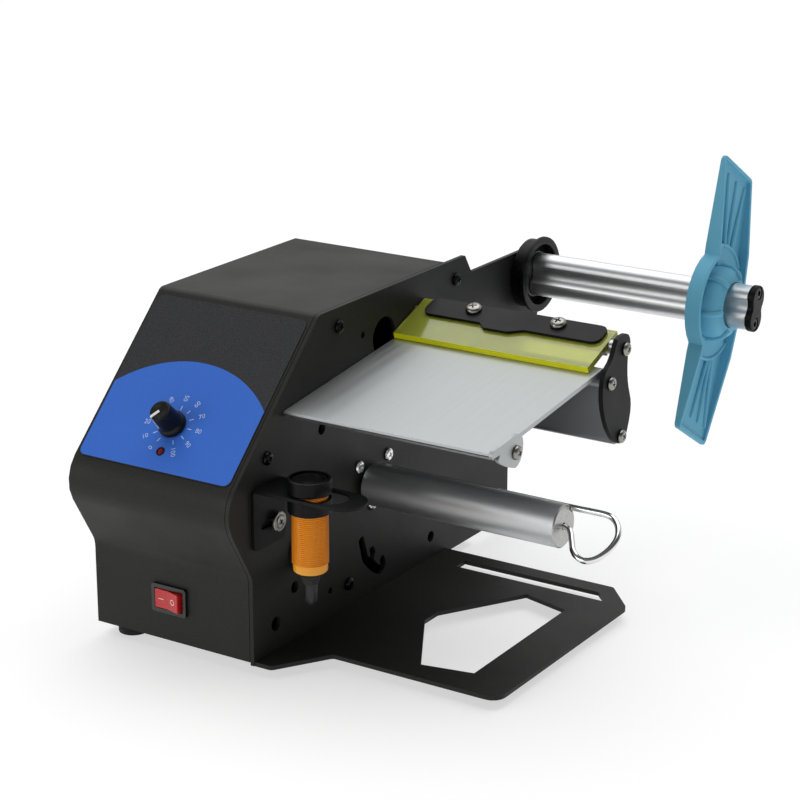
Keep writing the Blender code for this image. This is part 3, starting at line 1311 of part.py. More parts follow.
def make_takeup(datum):
    """Output shaft, grooved roller and the wire clip, all on the take-up axis."""
    axis = empty("takeup_axis", datum, (0.0, TAKEUP_Y, TAKEUP_Z))
    start = FRAME_INNER - GAP - OUTPUT_DEPTH + GAP
    end = HOUSING_WIDTH + OUTPUT_REACH
    rod("output_shaft", OUTPUT_RADIUS, end - start, MEDIUM, STEEL, axis, (start, 0.0, 0.0), ALONG_X)
    edge = ROLLER_RADIUS - ROLLER_CHAMFER
    profile = [
        (0.0, ROLLER_LENGTH),
        (edge, ROLLER_LENGTH),
        (ROLLER_RADIUS, ROLLER_LENGTH - ROLLER_CHAMFER),
        (ROLLER_RADIUS, ROLLER_CHAMFER),
        (edge, 0.0),
        (0.0, 0.0),
    ]
    roller = turned("takeup_roller", profile, FINE, GREY_ALUMINIUM, axis, (ROLLER_START, 0.0, 0.0),
                    ALONG_X)
    shaft_bore = rod("roller_shaft_bore", OUTPUT_RADIUS + GAP, end + GAP - ROLLER_START + CUT_OVER,
                     MEDIUM, STEEL, axis, (ROLLER_START - CUT_OVER, 0.0, 0.0), ALONG_X)
    roller_end = ROLLER_START + ROLLER_LENGTH
    wire_room = CLIP_WIRE_RADIUS + GAP
    clip_bore = rod("roller_clip_bore", wire_room, CLIP_INNER_LEG + GAP + CUT_OVER, MEDIUM, STEEL,
                    axis, (roller_end - CLIP_INNER_LEG - GAP, 0.0, 0.0), ALONG_X)
    groove = block(
        "roller_groove",
        (ROLLER_START - CUT_OVER, CLIP_OFFSET - wire_room, -wire_room),
        (roller_end + CUT_OVER, ROLLER_RADIUS + CUT_OVER, wire_room),
        STEEL, axis, FLAT, (CLIP_ANGLE, 0.0, 0.0),
    )
    cut(roller, shaft_bore, clip_bore, groove)
    loop = [
        (roller_end + a * CLIP_LOOP_LENGTH, CLIP_OFFSET + b * CLIP_LOOP_WIDTH)
        for a, b in CLIP_LOOP_SHARES
    ]
    hole_mouth = roller_end - 2 * CLIP_WIRE_RADIUS
    middle = roller_end - CLIP_INNER_LEG / 2
    leg_start = ROLLER_START + CLIP_TAIL_START
    leg_middle = (leg_start + roller_end) / 2
    path = [(leg_start, CLIP_OFFSET), (leg_middle, CLIP_OFFSET), (roller_end, CLIP_OFFSET)]
    path += loop + [(hole_mouth, 0.0), (middle, 0.0), (roller_end - CLIP_INNER_LEG, 0.0)]
    smooth = smooth_through([(x, out, 0.0) for x, out in path], CLIP_STEPS)
    clip = wire("takeup_clip", smooth, CLIP_WIRE_RADIUS, CHROME, axis)
    clip.rotation_euler = (CLIP_ANGLE, 0.0, 0.0)


# Peel plate


def make_peel_plate(datum):
    """Sloping sheet with a folded front edge, a right lip, a left flange and its screw ear."""
    slope = empty("plate_slope", datum, (0.0, PLATE_FRONT_Y, PLATE_FRONT_Z), (PLATE_RISE, 0.0, 0.0))
    left = HOUSING_WIDTH + GAP
    section = [
        (0.0, 0.0),
        (PLATE_LENGTH, 0.0),
        (PLATE_LENGTH, -PLATE_SHEET),
        (PLATE_HEM_LENGTH, -PLATE_SHEET),
        (PLATE_HEM_LENGTH - PLATE_HEM_SLANT, -PLATE_HEM_DEPTH),
        (PLATE_HEM_SLANT, -PLATE_HEM_DEPTH),
        (-PLATE_HEM_SLANT / 2, -PLATE_HEM_DEPTH / 2),
    ]
    plate = flat_piece("peel_plate", [section[::-1]], PLATE_RIGHT - left, PLATE_SILVER, slope,
                       (left, 0.0, 0.0), SIDEWAYS)
    lip = block(
        "plate_lip",
        (PLATE_RIGHT - PLATE_SHEET, PLATE_HEM_LENGTH / 2, -PLATE_LIP),
        (PLATE_RIGHT, PLATE_LENGTH - PLATE_LIP_SETBACK, -PLATE_SHEET / 2),
        PLATE_SILVER, slope,
    )
    flange = block(
        "plate_flange",
        (left, PLATE_FLANGE_SETBACK + TIE_ROD_RADIUS, -PLATE_FLANGE),
        (left + PLATE_SHEET, PLATE_LENGTH - PLATE_FLANGE_SETBACK / 2, -PLATE_SHEET / 2),
        PLATE_SILVER, slope,
    )
    ear_loop = by_shares(EAR_SHARES, (EAR_Y, EAR_Z), (EAR_LENGTH, EAR_HEIGHT))
    hole = circle((TIE_ROD_Y, TIE_ROD_Z), SCREW_RADIUS + GAP, COARSE)
    ear = flat_piece(
        "plate_ear", [smooth_through(ear_loop, 2, closed=True), hole], PLATE_SHEET + GAP,
        PLATE_SILVER, datum, (PLATE_RIGHT - GAP, 0.0, 0.0), SIDEWAYS,
    )
    join(plate, lip, flange, ear)


def rod_with_spigot(name, parent, place, length, radius, material):
    """Rod along X whose left end steps down through the side frame, tapped at its right end."""
    step = length - FRAME_SHEET - GAP
    deep = step - BRACKET_BORE_DEPTH
    bore = SCREW_RADIUS + GAP
    profile = [
        (0.0, deep),
        (bore, deep),
        (bore, step),
        (radius, step),
        (radius, 0.0),
        (SPIGOT_RADIUS, 0.0),
        (SPIGOT_RADIUS, -FRAME_SHEET - GAP),
        (0.0, -FRAME_SHEET - GAP),
    ]
    return turned(name, profile, MEDIUM, material, parent, place, ALONG_X)


def make_tie_rod(datum):
    """Front rod that carries the plate's ear, and the ear's screw."""
    left = HOUSING_WIDTH + GAP
    length = PLATE_RIGHT - GAP - GAP - left + FRAME_SHEET + GAP
    rod_with_spigot("front_tie_rod", datum, (left, TIE_ROD_Y, TIE_ROD_Z), length, TIE_ROD_RADIUS,
                    STEEL)
    pan_screw("ear_screw", datum, (PLATE_RIGHT + PLATE_SHEET + GAP, TIE_ROD_Y, TIE_ROD_Z), ALONG_X,
              CHROME, head=SCREW_HEAD_RADIUS, length=SCREW_LENGTH + PLATE_SHEET)


# Guide, press rod and end bracket


def make_guide(datum):
    """Two-lobed aluminium guide between the side frame and the end bracket."""
    left = HOUSING_WIDTH + GAP
    length = BRACKET_INNER - GAP - left
    top, low = guide_places()
    middle = ((top[0] + low[0]) / 2, (top[1] + low[1]) / 2)
    loop = dog_bone(GUIDE_LOBE_RADIUS, GUIDE_SPACING / 2, GUIDE_FILLET, 12)
    guide = flat_piece("guide_profile", [spin_loop(loop, GUIDE_LEAN, middle)], length,
                       GREY_ALUMINIUM, datum, (left, 0.0, 0.0), SIDEWAYS)
    for index, (y, z) in enumerate((top, low)):
        spigot = rod(f"guide_spigot_{index}", SPIGOT_RADIUS, FRAME_SHEET + GAP + CUT_OVER, COARSE,
                     GREY_ALUMINIUM, datum, (HOUSING_WIDTH - FRAME_SHEET, y, z), ALONG_X)
        tap = rod(f"guide_tap_{index}", SCREW_RADIUS + GAP, BRACKET_BORE_DEPTH + CUT_OVER, 12,
                  GREY_ALUMINIUM, datum, (left + length - BRACKET_BORE_DEPTH, y, z), ALONG_X)
        join(guide, spigot)
        cut(guide, tap)


def make_end_bracket(datum):
    """Black end bracket and its three chrome screws."""
    outline = by_shares(BRACKET_SHARES, (BRACKET_Y, BRACKET_Z), (BRACKET_LENGTH, BRACKET_HEIGHT))
    places = [(PRESS_Y, PRESS_Z)] + guide_places()
    holes = [circle(place, SCREW_RADIUS + GAP, COARSE) for place in places]
    flat_piece("end_bracket", [smooth_through(outline, 2, closed=True)] + holes, BRACKET_SHEET,
               POWDER_COAT, datum, (BRACKET_INNER, 0.0, 0.0), SIDEWAYS)
    names = ("bracket_screw_top", "bracket_screw_middle", "bracket_screw_bottom")
    for name, (y, z) in zip(names, places):
        pan_screw(name, datum, (BRACKET_INNER + BRACKET_SHEET + GAP, y, z), ALONG_X, CHROME,
                  length=SCREW_LENGTH + BRACKET_SHEET)


def make_press(datum):
    """Lifting press: rod with a flat bar, clear window, black strip and two dome screws."""
    axis = empty("press_axis", datum, (0.0, PRESS_Y, PRESS_Z))
    slope = empty("press_slope", axis, FLAT, (PRESS_SLOPE, 0.0, 0.0))
    right = BRACKET_INNER - GAP
    left = FRAME_INNER
    length = right - left
    profile = [
        (0.0, length - BRACKET_BORE_DEPTH),
        (SCREW_RADIUS + GAP, length - BRACKET_BORE_DEPTH),
        (SCREW_RADIUS + GAP, length),
        (PRESS_ROD_RADIUS, length),
        (PRESS_ROD_RADIUS, 0.0),
        (0.0, 0.0),
    ]
    press_rod = turned("press_rod", profile, MEDIUM, STEEL, axis, (left, 0.0, 0.0), ALONG_X)
    window_end = WINDOW_X + WINDOW_REACH
    flat_cut = block(
        "rod_flat",
        (WINDOW_X - GAP, -PRESS_ROD_RADIUS - CUT_OVER, -GAP),
        (window_end + GAP, PRESS_ROD_RADIUS + CUT_OVER, PRESS_ROD_RADIUS + CUT_OVER),
        STEEL, slope,
    )
    bar = block(
        "press_bar",
        (WINDOW_X + PRESS_BAR_MARGIN, -PRESS_BAR_FRONT, -PRESS_BAR_SHEET),
        (window_end - PRESS_BAR_MARGIN, PRESS_BAR_BACK, 0.0),
        STEEL, slope,
    )
    cut(press_rod, flat_cut)
    join(press_rod, bar)
    screw_depth = WINDOW_SHEET + STRIP_SHEET + PRESS_BAR_SHEET
    low = WINDOW_SEAT
    top = low + WINDOW_SHEET
    hole = SCREW_RADIUS + GAP
    window_loops = [rectangle(WINDOW_X, -WINDOW_BELOW, WINDOW_REACH, WINDOW_BELOW + WINDOW_ABOVE)]
    strip_top = top + GAP + STRIP_SHEET
    tab = STRIP_TAB_X
    corners = [
        (STRIP_X, -STRIP_BELOW),
        (tab, -STRIP_BELOW),
        (tab + STRIP_TAB_SLANT / 2, -STRIP_BELOW - STRIP_TAB_REACH),
        (tab + STRIP_TAB_WIDTH - STRIP_TAB_SLANT, -STRIP_BELOW - STRIP_TAB_REACH),
        (tab + STRIP_TAB_WIDTH, -STRIP_BELOW),
        (STRIP_X + STRIP_REACH, -STRIP_BELOW),
        (STRIP_X + STRIP_REACH, STRIP_ABOVE),
        (STRIP_X, STRIP_ABOVE),
    ]
    fold = STRIP_TAB_BEND
    radii = [STRIP_CORNER, fold, fold, fold, fold, STRIP_CORNER, STRIP_CORNER, STRIP_CORNER]
    strip_loops = [bend(corners, radii)]
    for index, x in enumerate(STRIP_SCREW_XS):
        place = (x, STRIP_SCREW_PLACE)
        window_loops.append(circle(place, hole, 12))
        strip_loops.append(circle(place, hole, 12))
        tap = rod(f"bar_tap_{index}", hole, PRESS_BAR_SHEET + 2 * CUT_OVER, 12, STEEL, slope,
                  (*place, -PRESS_BAR_SHEET - CUT_OVER))
        cut(press_rod, tap)
        pan_screw(f"strip_screw_{index + 1}", slope, (*place, strip_top + GAP), FLAT, CHROME,
                  head=STRIP_SCREW_HEAD, rise=STRIP_SCREW_HEIGHT, length=screw_depth)
    flat_piece("press_window", window_loops, WINDOW_SHEET, ACRYLIC, slope, (0.0, 0.0, low), FLAT)
    flat_piece("press_strip", strip_loops, STRIP_SHEET, POWDER_COAT, slope, (0.0, 0.0, top + GAP),
               FLAT)


# Label sensor


def make_sensor_bracket(datum):
    """Angle bracket with a slotted arm for the sensor and a slotted flange on the side frame."""
    left = HOUSING_WIDTH + GAP
    slot_radius = SENSOR_RADIUS + GAP
    slot = long_hole((SENSOR_X, SENSOR_Y), (SENSOR_X + SENSOR_TRAVEL, SENSOR_Y), slot_radius, 10)
    half = SENSOR_ARM_HALF_WIDTH
    tip = SENSOR_ARM_REACH - half
    arm_loop = arc((tip, SENSOR_Y), half, -math.pi / 2, math.pi / 2, 12)
    arm_loop += [(left, SENSOR_Y + half), (left, SENSOR_Y - half)]
    arm = flat_piece("sensor_arm", [arm_loop, slot], SENSOR_BRACKET_SHEET, POWDER_COAT, datum,
                     (0.0, 0.0, SENSOR_ARM_Z), FLAT)
    wide = SENSOR_FLANGE_HALF_WIDTH
    top = SENSOR_ARM_Z + SENSOR_BRACKET_SHEET / 2
    corners = rectangle(SENSOR_Y - wide, SENSOR_FLANGE_BOTTOM, 2 * wide, top - SENSOR_FLANGE_BOTTOM)
    corner = SENSOR_FLANGE_CORNER
    outline = bend(corners, [corner, corner, corner / 2, corner / 2])
    clamp_slot = long_hole((SENSOR_SLOT_FRONT, SENSOR_SLOT_Z), (SENSOR_SLOT_BACK, SENSOR_SLOT_Z),
                           SCREW_RADIUS + GAP)
    flange = flat_piece("sensor_bracket", [outline, clamp_slot], SENSOR_BRACKET_SHEET, POWDER_COAT,
                        datum, (left, 0.0, 0.0), SIDEWAYS)
    join(flange, arm)
    head = left + SENSOR_BRACKET_SHEET + GAP
    profile = by_shares(SCREW_HEAD_SHARES, (0.0, WASHER_SHEET), (SCREW_HEAD_RADIUS, SCREW_HEAD_HEIGHT))
    profile += [
        (WASHER_RADIUS, WASHER_SHEET),
        (WASHER_RADIUS, 0.0),
        (SCREW_RADIUS, 0.0),
        (SCREW_RADIUS, -SCREW_LENGTH - SENSOR_BRACKET_SHEET),
        (0.0, -SCREW_LENGTH - SENSOR_BRACKET_SHEET),
    ]
    turned("bracket_clamp_screw", profile, COARSE, CHROME, datum,
           (head, SENSOR_SCREW_Y, SENSOR_SLOT_Z), ALONG_X)


def make_sensor(datum):
    """Round sensor with its two clamp nuts on the arm."""
    axis = empty("sensor_axis", datum, (SENSOR_X, SENSOR_Y, 0.0))
    profile = [
        (0.0, SENSOR_TOP - SENSOR_LENS_DEPTH),
        (SENSOR_LENS_RADIUS, SENSOR_TOP - SENSOR_LENS_DEPTH),
        (SENSOR_LENS_RADIUS, SENSOR_TOP),
        (SENSOR_RADIUS, SENSOR_TOP),
        (SENSOR_RADIUS, SENSOR_THREAD_END),
        (SENSOR_TAIL_RADIUS, SENSOR_THREAD_END),
        (SENSOR_TAIL_RADIUS, SENSOR_BOTTOM),
        (0.0, SENSOR_BOTTOM),
    ]
    turned("sensor_barrel", profile, MEDIUM, SENSOR_ORANGE, axis)
    bore = SENSOR_RADIUS + GAP
    edge = NUT_RADIUS - NUT_CHAMFER
    ring = [
        (edge, NUT_HEIGHT),
        (NUT_RADIUS, NUT_HEIGHT - NUT_CHAMFER),
        (NUT_RADIUS, NUT_CHAMFER),
        (edge, 0.0),
        (bore, 0.0),
        (bore, NUT_HEIGHT),
    ]
    over = SENSOR_ARM_Z + SENSOR_BRACKET_SHEET + GAP
    under = SENSOR_ARM_Z - GAP - NUT_HEIGHT
    turned("sensor_nut_upper", ring, MEDIUM, BLACK_PLASTIC, axis, (0.0, 0.0, over), ring=True)
    turned("sensor_nut_lower", ring, MEDIUM, BLACK_PLASTIC, axis, (0.0, 0.0, under), ring=True)


def shifted(steps, place):
    """Points given as steps from a place."""
    return [tuple(along + start for along, start in zip(step, place)) for step in steps]


def make_sensor_cable(datum):
    """Sensor lead from the barrel through the grommet to the board, and the grommet."""
    board_top = POST_HEIGHT - COVER_DROP + BOARD_SHEET
    route = shifted(CABLE_FROM_SENSOR, (SENSOR_X, SENSOR_Y, SENSOR_BOTTOM))
    route += shifted(CABLE_FROM_GROMMET, (HOUSING_WIDTH, GROMMET_Y, GROMMET_Z))
    route += shifted(CABLE_FROM_BOARD, (BOARD_LEFT + BOARD_WIDTH, BOARD_FRONT, board_top))
    wire("sensor_cable", smooth_through(route, CABLE_STEPS), CABLE_RADIUS, BLACK_PLASTIC, datum)
    neck = GROMMET_NECK_RADIUS
    front = HOUSING_WIDTH + GAP
    back = FRAME_INNER - GAP
    profile = [
        (GROMMET_RADIUS, front + GROMMET_FLANGE),
        (GROMMET_RADIUS, front),
        (neck, front),
        (neck, back),
        (GROMMET_RADIUS, back),
        (GROMMET_RADIUS, back - GROMMET_FLANGE),
        (GROMMET_BORE_RADIUS, back - GROMMET_FLANGE),
        (GROMMET_BORE_RADIUS, front + GROMMET_FLANGE),
    ]
    turned("cable_grommet", profile, MEDIUM, RUBBER, datum, (0.0, GROMMET_Y, GROMMET_Z), ALONG_X,
           ring=True)


# Supply shaft


def make_collar(datum):
    """Fixed collar on the arm, with the bearing in its boss."""
    axis = empty("supply_datum", datum, (0.0, SUPPLY_Y, SUPPLY_Z))
    left = HOUSING_WIDTH + GAP
    face = left + COLLAR_DEPTH
    floor = left + COLLAR_FLOOR
    bore = BEARING_RADIUS + GAP
    inner = COLLAR_RADIUS - COLLAR_WALL
    profile = [
        (inner, face),
        (COLLAR_LIP_RADIUS, face),
        (COLLAR_LIP_RADIUS, face - COLLAR_LIP),
        (COLLAR_RADIUS, face - COLLAR_LIP),
        (COLLAR_RADIUS, left),
        (COLLAR_BOSS_RADIUS, left),
        (COLLAR_BOSS_RADIUS, FRAME_INNER),
        (bore, FRAME_INNER),
        (bore, floor),
        (inner, floor),
    ]
    turned("supply_collar", profile, FINE, BLACK_PLASTIC, axis, FLAT, ALONG_X, ring=True)
    ring = [
        (BEARING_RADIUS, floor),
        (BEARING_RADIUS, floor - BEARING_LENGTH),
        (AXLE_RADIUS + GAP, floor - BEARING_LENGTH),
        (AXLE_RADIUS + GAP, floor),
    ]
    turned("supply_bearing", ring, MEDIUM, BRASS, axis, FLAT, ALONG_X, ring=True)


def make_supply_shaft(datum):
    """Turning shaft: hub with its axle, fluted profile, end cap and two cap screws."""
    axis = empty("supply_axis", datum, (0.0, SUPPLY_Y, SUPPLY_Z), (SUPPLY_TILT, 0.0, 0.0))
    floor = HOUSING_WIDTH + GAP + COLLAR_FLOOR
    hub_left = floor + GAP
    hub_right = hub_left + HUB_DEPTH
    profile = [
        (0.0, hub_right),
        (HUB_RADIUS, hub_right),
        (HUB_RADIUS, hub_left),
        (AXLE_RADIUS, hub_left),
        (AXLE_RADIUS, hub_left - AXLE_REACH),
        (0.0, hub_left - AXLE_REACH),
    ]
    hub = turned("supply_hub", profile, MEDIUM, BLACK_PLASTIC, axis, FLAT, ALONG_X)
    nut_right = FRAME_INNER - GAP
    nut = [
        (HUB_NUT_RADIUS, nut_right),
        (HUB_NUT_RADIUS, nut_right - HUB_NUT_HEIGHT),
        (AXLE_RADIUS + GAP, nut_right - HUB_NUT_HEIGHT),
        (AXLE_RADIUS + GAP, nut_right),
    ]
    turned("supply_hub_nut", nut, 12, STEEL, axis, FLAT, ALONG_X, ring=True)
    shaft_left = hub_right + GAP
    ports = [(0.0, SHAFT_PORT_OFFSET), (0.0, -SHAFT_PORT_OFFSET)]
    loop = dog_bone(SHAFT_LOBE_RADIUS, SHAFT_LOBE_OFFSET, SHAFT_FLUTE_RADIUS, 12)
    flat_piece(
        "supply_shaft", [loop] + [circle(port, SHAFT_PORT_RADIUS, 12) for port in ports],
        SHAFT_END - shaft_left, ALUMINIUM, axis, (shaft_left, 0.0, 0.0), SIDEWAYS,
    )
    cap_left = SHAFT_END + GAP
    hole = SCREW_RADIUS + GAP
    cap_loop = dog_bone(CAP_LOBE_RADIUS, SHAFT_LOBE_OFFSET, SHAFT_FLUTE_RADIUS, 12)
    cap = flat_piece(
        "shaft_end_cap", [cap_loop] + [circle(port, hole, 12) for port in ports], CAP_DEPTH,
        BLACK_PLASTIC, axis, (cap_left, 0.0, 0.0), SIDEWAYS,
    )
    seat = cap_left + CAP_DEPTH - CAP_SCREW_HEAD_HEIGHT - GAP
    for index, (side, up) in enumerate(ports):
        pin = rod(f"hub_pin_{index}", SHAFT_PORT_RADIUS - GAP, HUB_PIN_LENGTH + HUB_DEPTH, 12,
                  BLACK_PLASTIC, axis, (hub_left + HUB_DEPTH / 2, side, up), ALONG_X)
        join(hub, pin)
        sink = rod(f"cap_sink_{index}", CAP_SCREW_HEAD_RADIUS + GAP, CAP_DEPTH, COARSE,
                   BLACK_PLASTIC, axis, (seat, side, up), ALONG_X)
        cut(cap, sink)
        pan_screw(f"end_cap_screw_{index + 1}", axis, (seat + GAP, side, up), ALONG_X, BLACK_SCREW,
                  head=CAP_SCREW_HEAD_RADIUS, rise=CAP_SCREW_HEAD_HEIGHT - GAP,
                  length=CAP_SCREW_LENGTH)


def wing_outline():
    """Plan of the retainer: a round hub with two wings whose tips are opposite, anticlockwise."""
    hub = RETAINER_HUB_RADIUS
    necks = [math.radians(angle) for pair in WING_NECKS for angle in pair]
    necks.append(necks[0] + 2 * math.pi)
    outline = []
    for side in (1.0, -1.0):
        tips = by_shares(WING_SHARES, (0.0, 0.0), (side * WING_REACH, side * WING_REACH))
        leave, back, following = necks[:3]
        necks = necks[2:]
        start = (hub * math.cos(leave), hub * math.sin(leave))
        end = (hub * math.cos(back), hub * math.sin(back))
        outline += bend([start] + tips + [end], [0.0, WING_TIP_CORNER, WING_TIP_CORNER, 0.0], closed=False)
        outline += arc((0.0, 0.0), hub, back, following, 10)[1:-1]
    return outline


def make_retainer(datum):
    """Sliding retainer with a domed hub and two channelled wings."""
    axis = empty("retainer_axis", datum, (RETAINER_BACK, SUPPLY_Y, SUPPLY_Z), SIDEWAYS)
    outline = wing_outline()
    bore = SHAFT_ENVELOPE + GAP
    core = DOME_RADIUS - DOME_WALL_OVERLAP
    body = flat_piece("roll_retainer", [outline, circle((0.0, 0.0), core, FINE)], RETAINER_DEPTH,
                      RETAINER_BLUE, axis)
    pocket_loop = inset(outline, RETAINER_RIM)
    pocket = flat_piece(
        "wing_pocket", [pocket_loop, circle((0.0, 0.0), DOME_RADIUS - RETAINER_RIM / 2, FINE)],
        RETAINER_DEPTH, RETAINER_BLUE, axis, (0.0, 0.0, RETAINER_WEB),
    )
    fall = math.atan2(RETAINER_DEPTH - RETAINER_TIP_DEPTH, WING_REACH - RETAINER_HUB_RADIUS)
    rise = math.atan2(RETAINER_TIP_RISE, WING_REACH - RETAINER_HUB_RADIUS)
    for index, side in enumerate((0.0, math.pi)):
        wing = empty(f"wing_{index}", axis, FLAT, (0.0, 0.0, WING_DIRECTION + side))
        hinge = empty(f"wing_fall_{index}", wing, (0.0, RETAINER_HUB_RADIUS, RETAINER_DEPTH),
                      (-fall, 0.0, 0.0))
        shave = block(
            f"wing_shave_{index}",
            (-WING_REACH, 0.0, 0.0),
            (WING_REACH, 2 * WING_REACH, RETAINER_DEPTH),
            RETAINER_BLUE, hinge,
        )
        heel = empty(f"wing_rise_{index}", wing, (0.0, RETAINER_HUB_RADIUS, 0.0), (rise, 0.0, 0.0))
        relief = block(
            f"wing_relief_{index}",
            (-WING_REACH, 0.0, -RETAINER_DEPTH),
            (WING_REACH, 2 * WING_REACH, 0.0),
            RETAINER_BLUE, heel,
        )
        cut(body, shave, relief)
    cut(body, pocket)
    shoulder = [(DOME_RADIUS * a, DOME_HEIGHT * b) for a, b in DOME_SHARES]
    foot = RETAINER_WEB / 4
    profile = [(bore, DOME_HEIGHT)] + shoulder + [(DOME_RADIUS, RETAINER_WEB), (DOME_RADIUS, foot),
                                                  (bore, foot)]
    dome = turned("retainer_dome", profile, FINE, RETAINER_BLUE, axis, ring=True)
    join(body, dome)


def main():
    """Build the machine, standing with the middle of its foot face on the world origin."""
    far_right = ROLLER_START + ROLLER_LENGTH + CLIP_LOOP_LENGTH + CLIP_WIRE_RADIUS
    far_back = SUPPLY_Y + max(x for x, y in wing_outline())
    nose_tip = min(y for y, z in bend(cover_corners(), COVER_RADII, closed=False))
    middle = (-far_right / 2, -(far_back + nose_tip) / 2, -FLOOR_LEVEL)
    datum = empty("machine_datum", None, middle)
    slope = empty("slope_datum", datum, (0.0, -NOSE_REACH, NOSE_HEIGHT), (SLOPE_ANGLE, 0.0, 0.0))
    make_side_frame(datum)
    make_front_cover(datum, slope)
    make_left_panel(datum)
    make_bottom_plate(datum)
    make_control_board(datum)
    make_feet(datum)
    make_cover_screws(datum)
    make_overlay(slope)
    make_speed_control(slope)
    make_lamp(slope)
    make_switch(datum)
    make_inlet(datum)
    make_gear_motor(datum)
    make_takeup(datum)
    make_peel_plate(datum)
    make_tie_rod(datum)
    make_guide(datum)
    make_end_bracket(datum)
    make_press(datum)
    make_sensor_bracket(datum)
    make_sensor(datum)
    make_sensor_cable(datum)
    make_collar(datum)
    make_supply_shaft(datum)
    make_retainer(datum)
    bpy.context.view_layer.update()


main()
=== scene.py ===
"""Looks of a desktop label dispensing machine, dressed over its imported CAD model.

Each sub-assembly is a class that makes its visible pieces in metres, in the same frame as the CAD
model, gives them procedural finishes, and lets them ride on the CAD body that carries them.
"""

import logging
import math
from dataclasses import dataclass
from enum import Enum
from typing import Sequence

import bmesh
import bpy
from mathutils import Matrix, Vector


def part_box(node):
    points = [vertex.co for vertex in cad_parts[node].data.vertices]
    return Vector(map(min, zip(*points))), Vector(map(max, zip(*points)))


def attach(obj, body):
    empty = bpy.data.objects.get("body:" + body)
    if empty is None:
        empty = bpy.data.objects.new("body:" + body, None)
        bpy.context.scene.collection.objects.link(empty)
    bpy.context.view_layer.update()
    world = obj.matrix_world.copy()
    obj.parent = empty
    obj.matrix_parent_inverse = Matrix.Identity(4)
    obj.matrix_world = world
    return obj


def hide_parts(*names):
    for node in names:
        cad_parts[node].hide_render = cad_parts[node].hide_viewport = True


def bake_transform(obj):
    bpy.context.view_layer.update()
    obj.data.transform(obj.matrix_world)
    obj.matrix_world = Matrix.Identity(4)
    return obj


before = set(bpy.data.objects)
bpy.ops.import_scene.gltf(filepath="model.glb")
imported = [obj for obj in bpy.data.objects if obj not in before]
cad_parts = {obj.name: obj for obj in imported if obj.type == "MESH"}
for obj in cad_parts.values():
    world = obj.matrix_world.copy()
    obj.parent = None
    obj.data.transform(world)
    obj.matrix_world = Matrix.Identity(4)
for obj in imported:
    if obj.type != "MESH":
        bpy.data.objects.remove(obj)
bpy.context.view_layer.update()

LOG = logging.getLogger("label_dispenser")

Point2 = tuple[float, float]
Point3 = tuple[float, float, float]
Loop = list[Point2]

# The part's own datum in the shared frame: the housing's left side and floor, just before its front
DATUM = Vector((-0.1211, -0.143562, 0.0075))

# Width of the housing, from which everything on its right side is placed
WIDTH = 0.0974

# Clearance between two solids that touch in the real machine
GAP = 0.0003

# Thickness of a printed mark over the surface that carries it
INK = 0.00003

# How far a cutter reaches past the piece that it cuts
OVER = 0.0020

# Points closer than this are one point: of an outline, and of a CAD node
SEAM = 1e-7
CAD_SEAM = 2e-6

# CAD faces that differ by less than the first angle are one, and folds over the second get round edges
FLAT_ANGLE = math.radians(0.5)
FOLD_ANGLE = math.radians(36.0)

# Straight steps of a small rounded corner
CORNER_STEPS = 6

# Rings of a domed end: how far out and how wide, as shares of the bar's radius
DOME_RINGS = ((0.38, 0.92), (0.70, 0.71), (0.92, 0.39))


class Body(Enum):
    """Moving bodies of the CAD model that pieces ride on."""

    MACHINE = "machine"
    KNOB = "knob"
    ROCKER = "rocker"
    TAKEUP = "takeup"
    CLIP = "clip"
    PRESS = "press"
    CARRIAGE = "sensor_carriage"
    SENSOR = "sensor"
    SUPPLY = "supply"
    RETAINER = "retainer"


class Recess(Enum):
    """Driver recesses of the screw heads."""

    CROSS = "cross"
    HEX = "hex"


# Frames of reference


def at(x: float, y: float, z: float) -> Matrix:
    """Frame with the world's directions at a place measured from the datum."""
    return Matrix.Translation(DATUM + Vector((x, y, z)))


def along_x(x: float, y: float, z: float, turn: float = 0.0) -> Matrix:
    """Frame whose own axes x, y and z run to the back, up and to the right.

    Args:
        x: Place along the machine's width from the datum.
        y: Place along its depth.
        z: Height.
        turn: Turn about the frame's own z axis, in radians.

    Returns:
        The frame as a matrix.
    """
    sideways = Matrix(((0, 0, 1, 0), (1, 0, 0, 0), (0, 1, 0, 0), (0, 0, 0, 1)))
    return at(x, y, z) @ sideways @ Matrix.Rotation(turn, 4, "Z")


# Plane outlines


def arc(centre: Point2, radius: float, start: float, end: float, steps: int) -> Loop:
    """Points on an arc, both ends included.

    Args:
        centre: Middle of the arc.
        radius: Its radius.
        start: First angle, in radians.
        end: Last angle, in radians.
        steps: Number of straight steps.

    Returns:
        The points in order.
    """
    angles = [start + (end - start) * step / steps for step in range(steps + 1)]
    return [(centre[0] + radius * math.cos(a), centre[1] + radius * math.sin(a)) for a in angles]


def circle(centre: Point2, radius: float, steps: int = 48) -> Loop:
    """Closed circle without a repeated last point."""
    return arc(centre, radius, 0.0, 2 * math.pi, steps)[:-1]


def rectangle(left: float, low: float, width: float, height: float, corner: float) -> Loop:
    """Closed upright rectangle with rounded corners."""
    right, top = left + width - corner, low + height - corner
    left, low = left + corner, low + corner
    points: Loop = []
    for quarter, middle in enumerate(((left, low), (right, low), (right, top), (left, top)), 2):
        points += arc(middle, corner, quarter * math.pi / 2, (quarter + 1) * math.pi / 2, CORNER_STEPS)
    return points


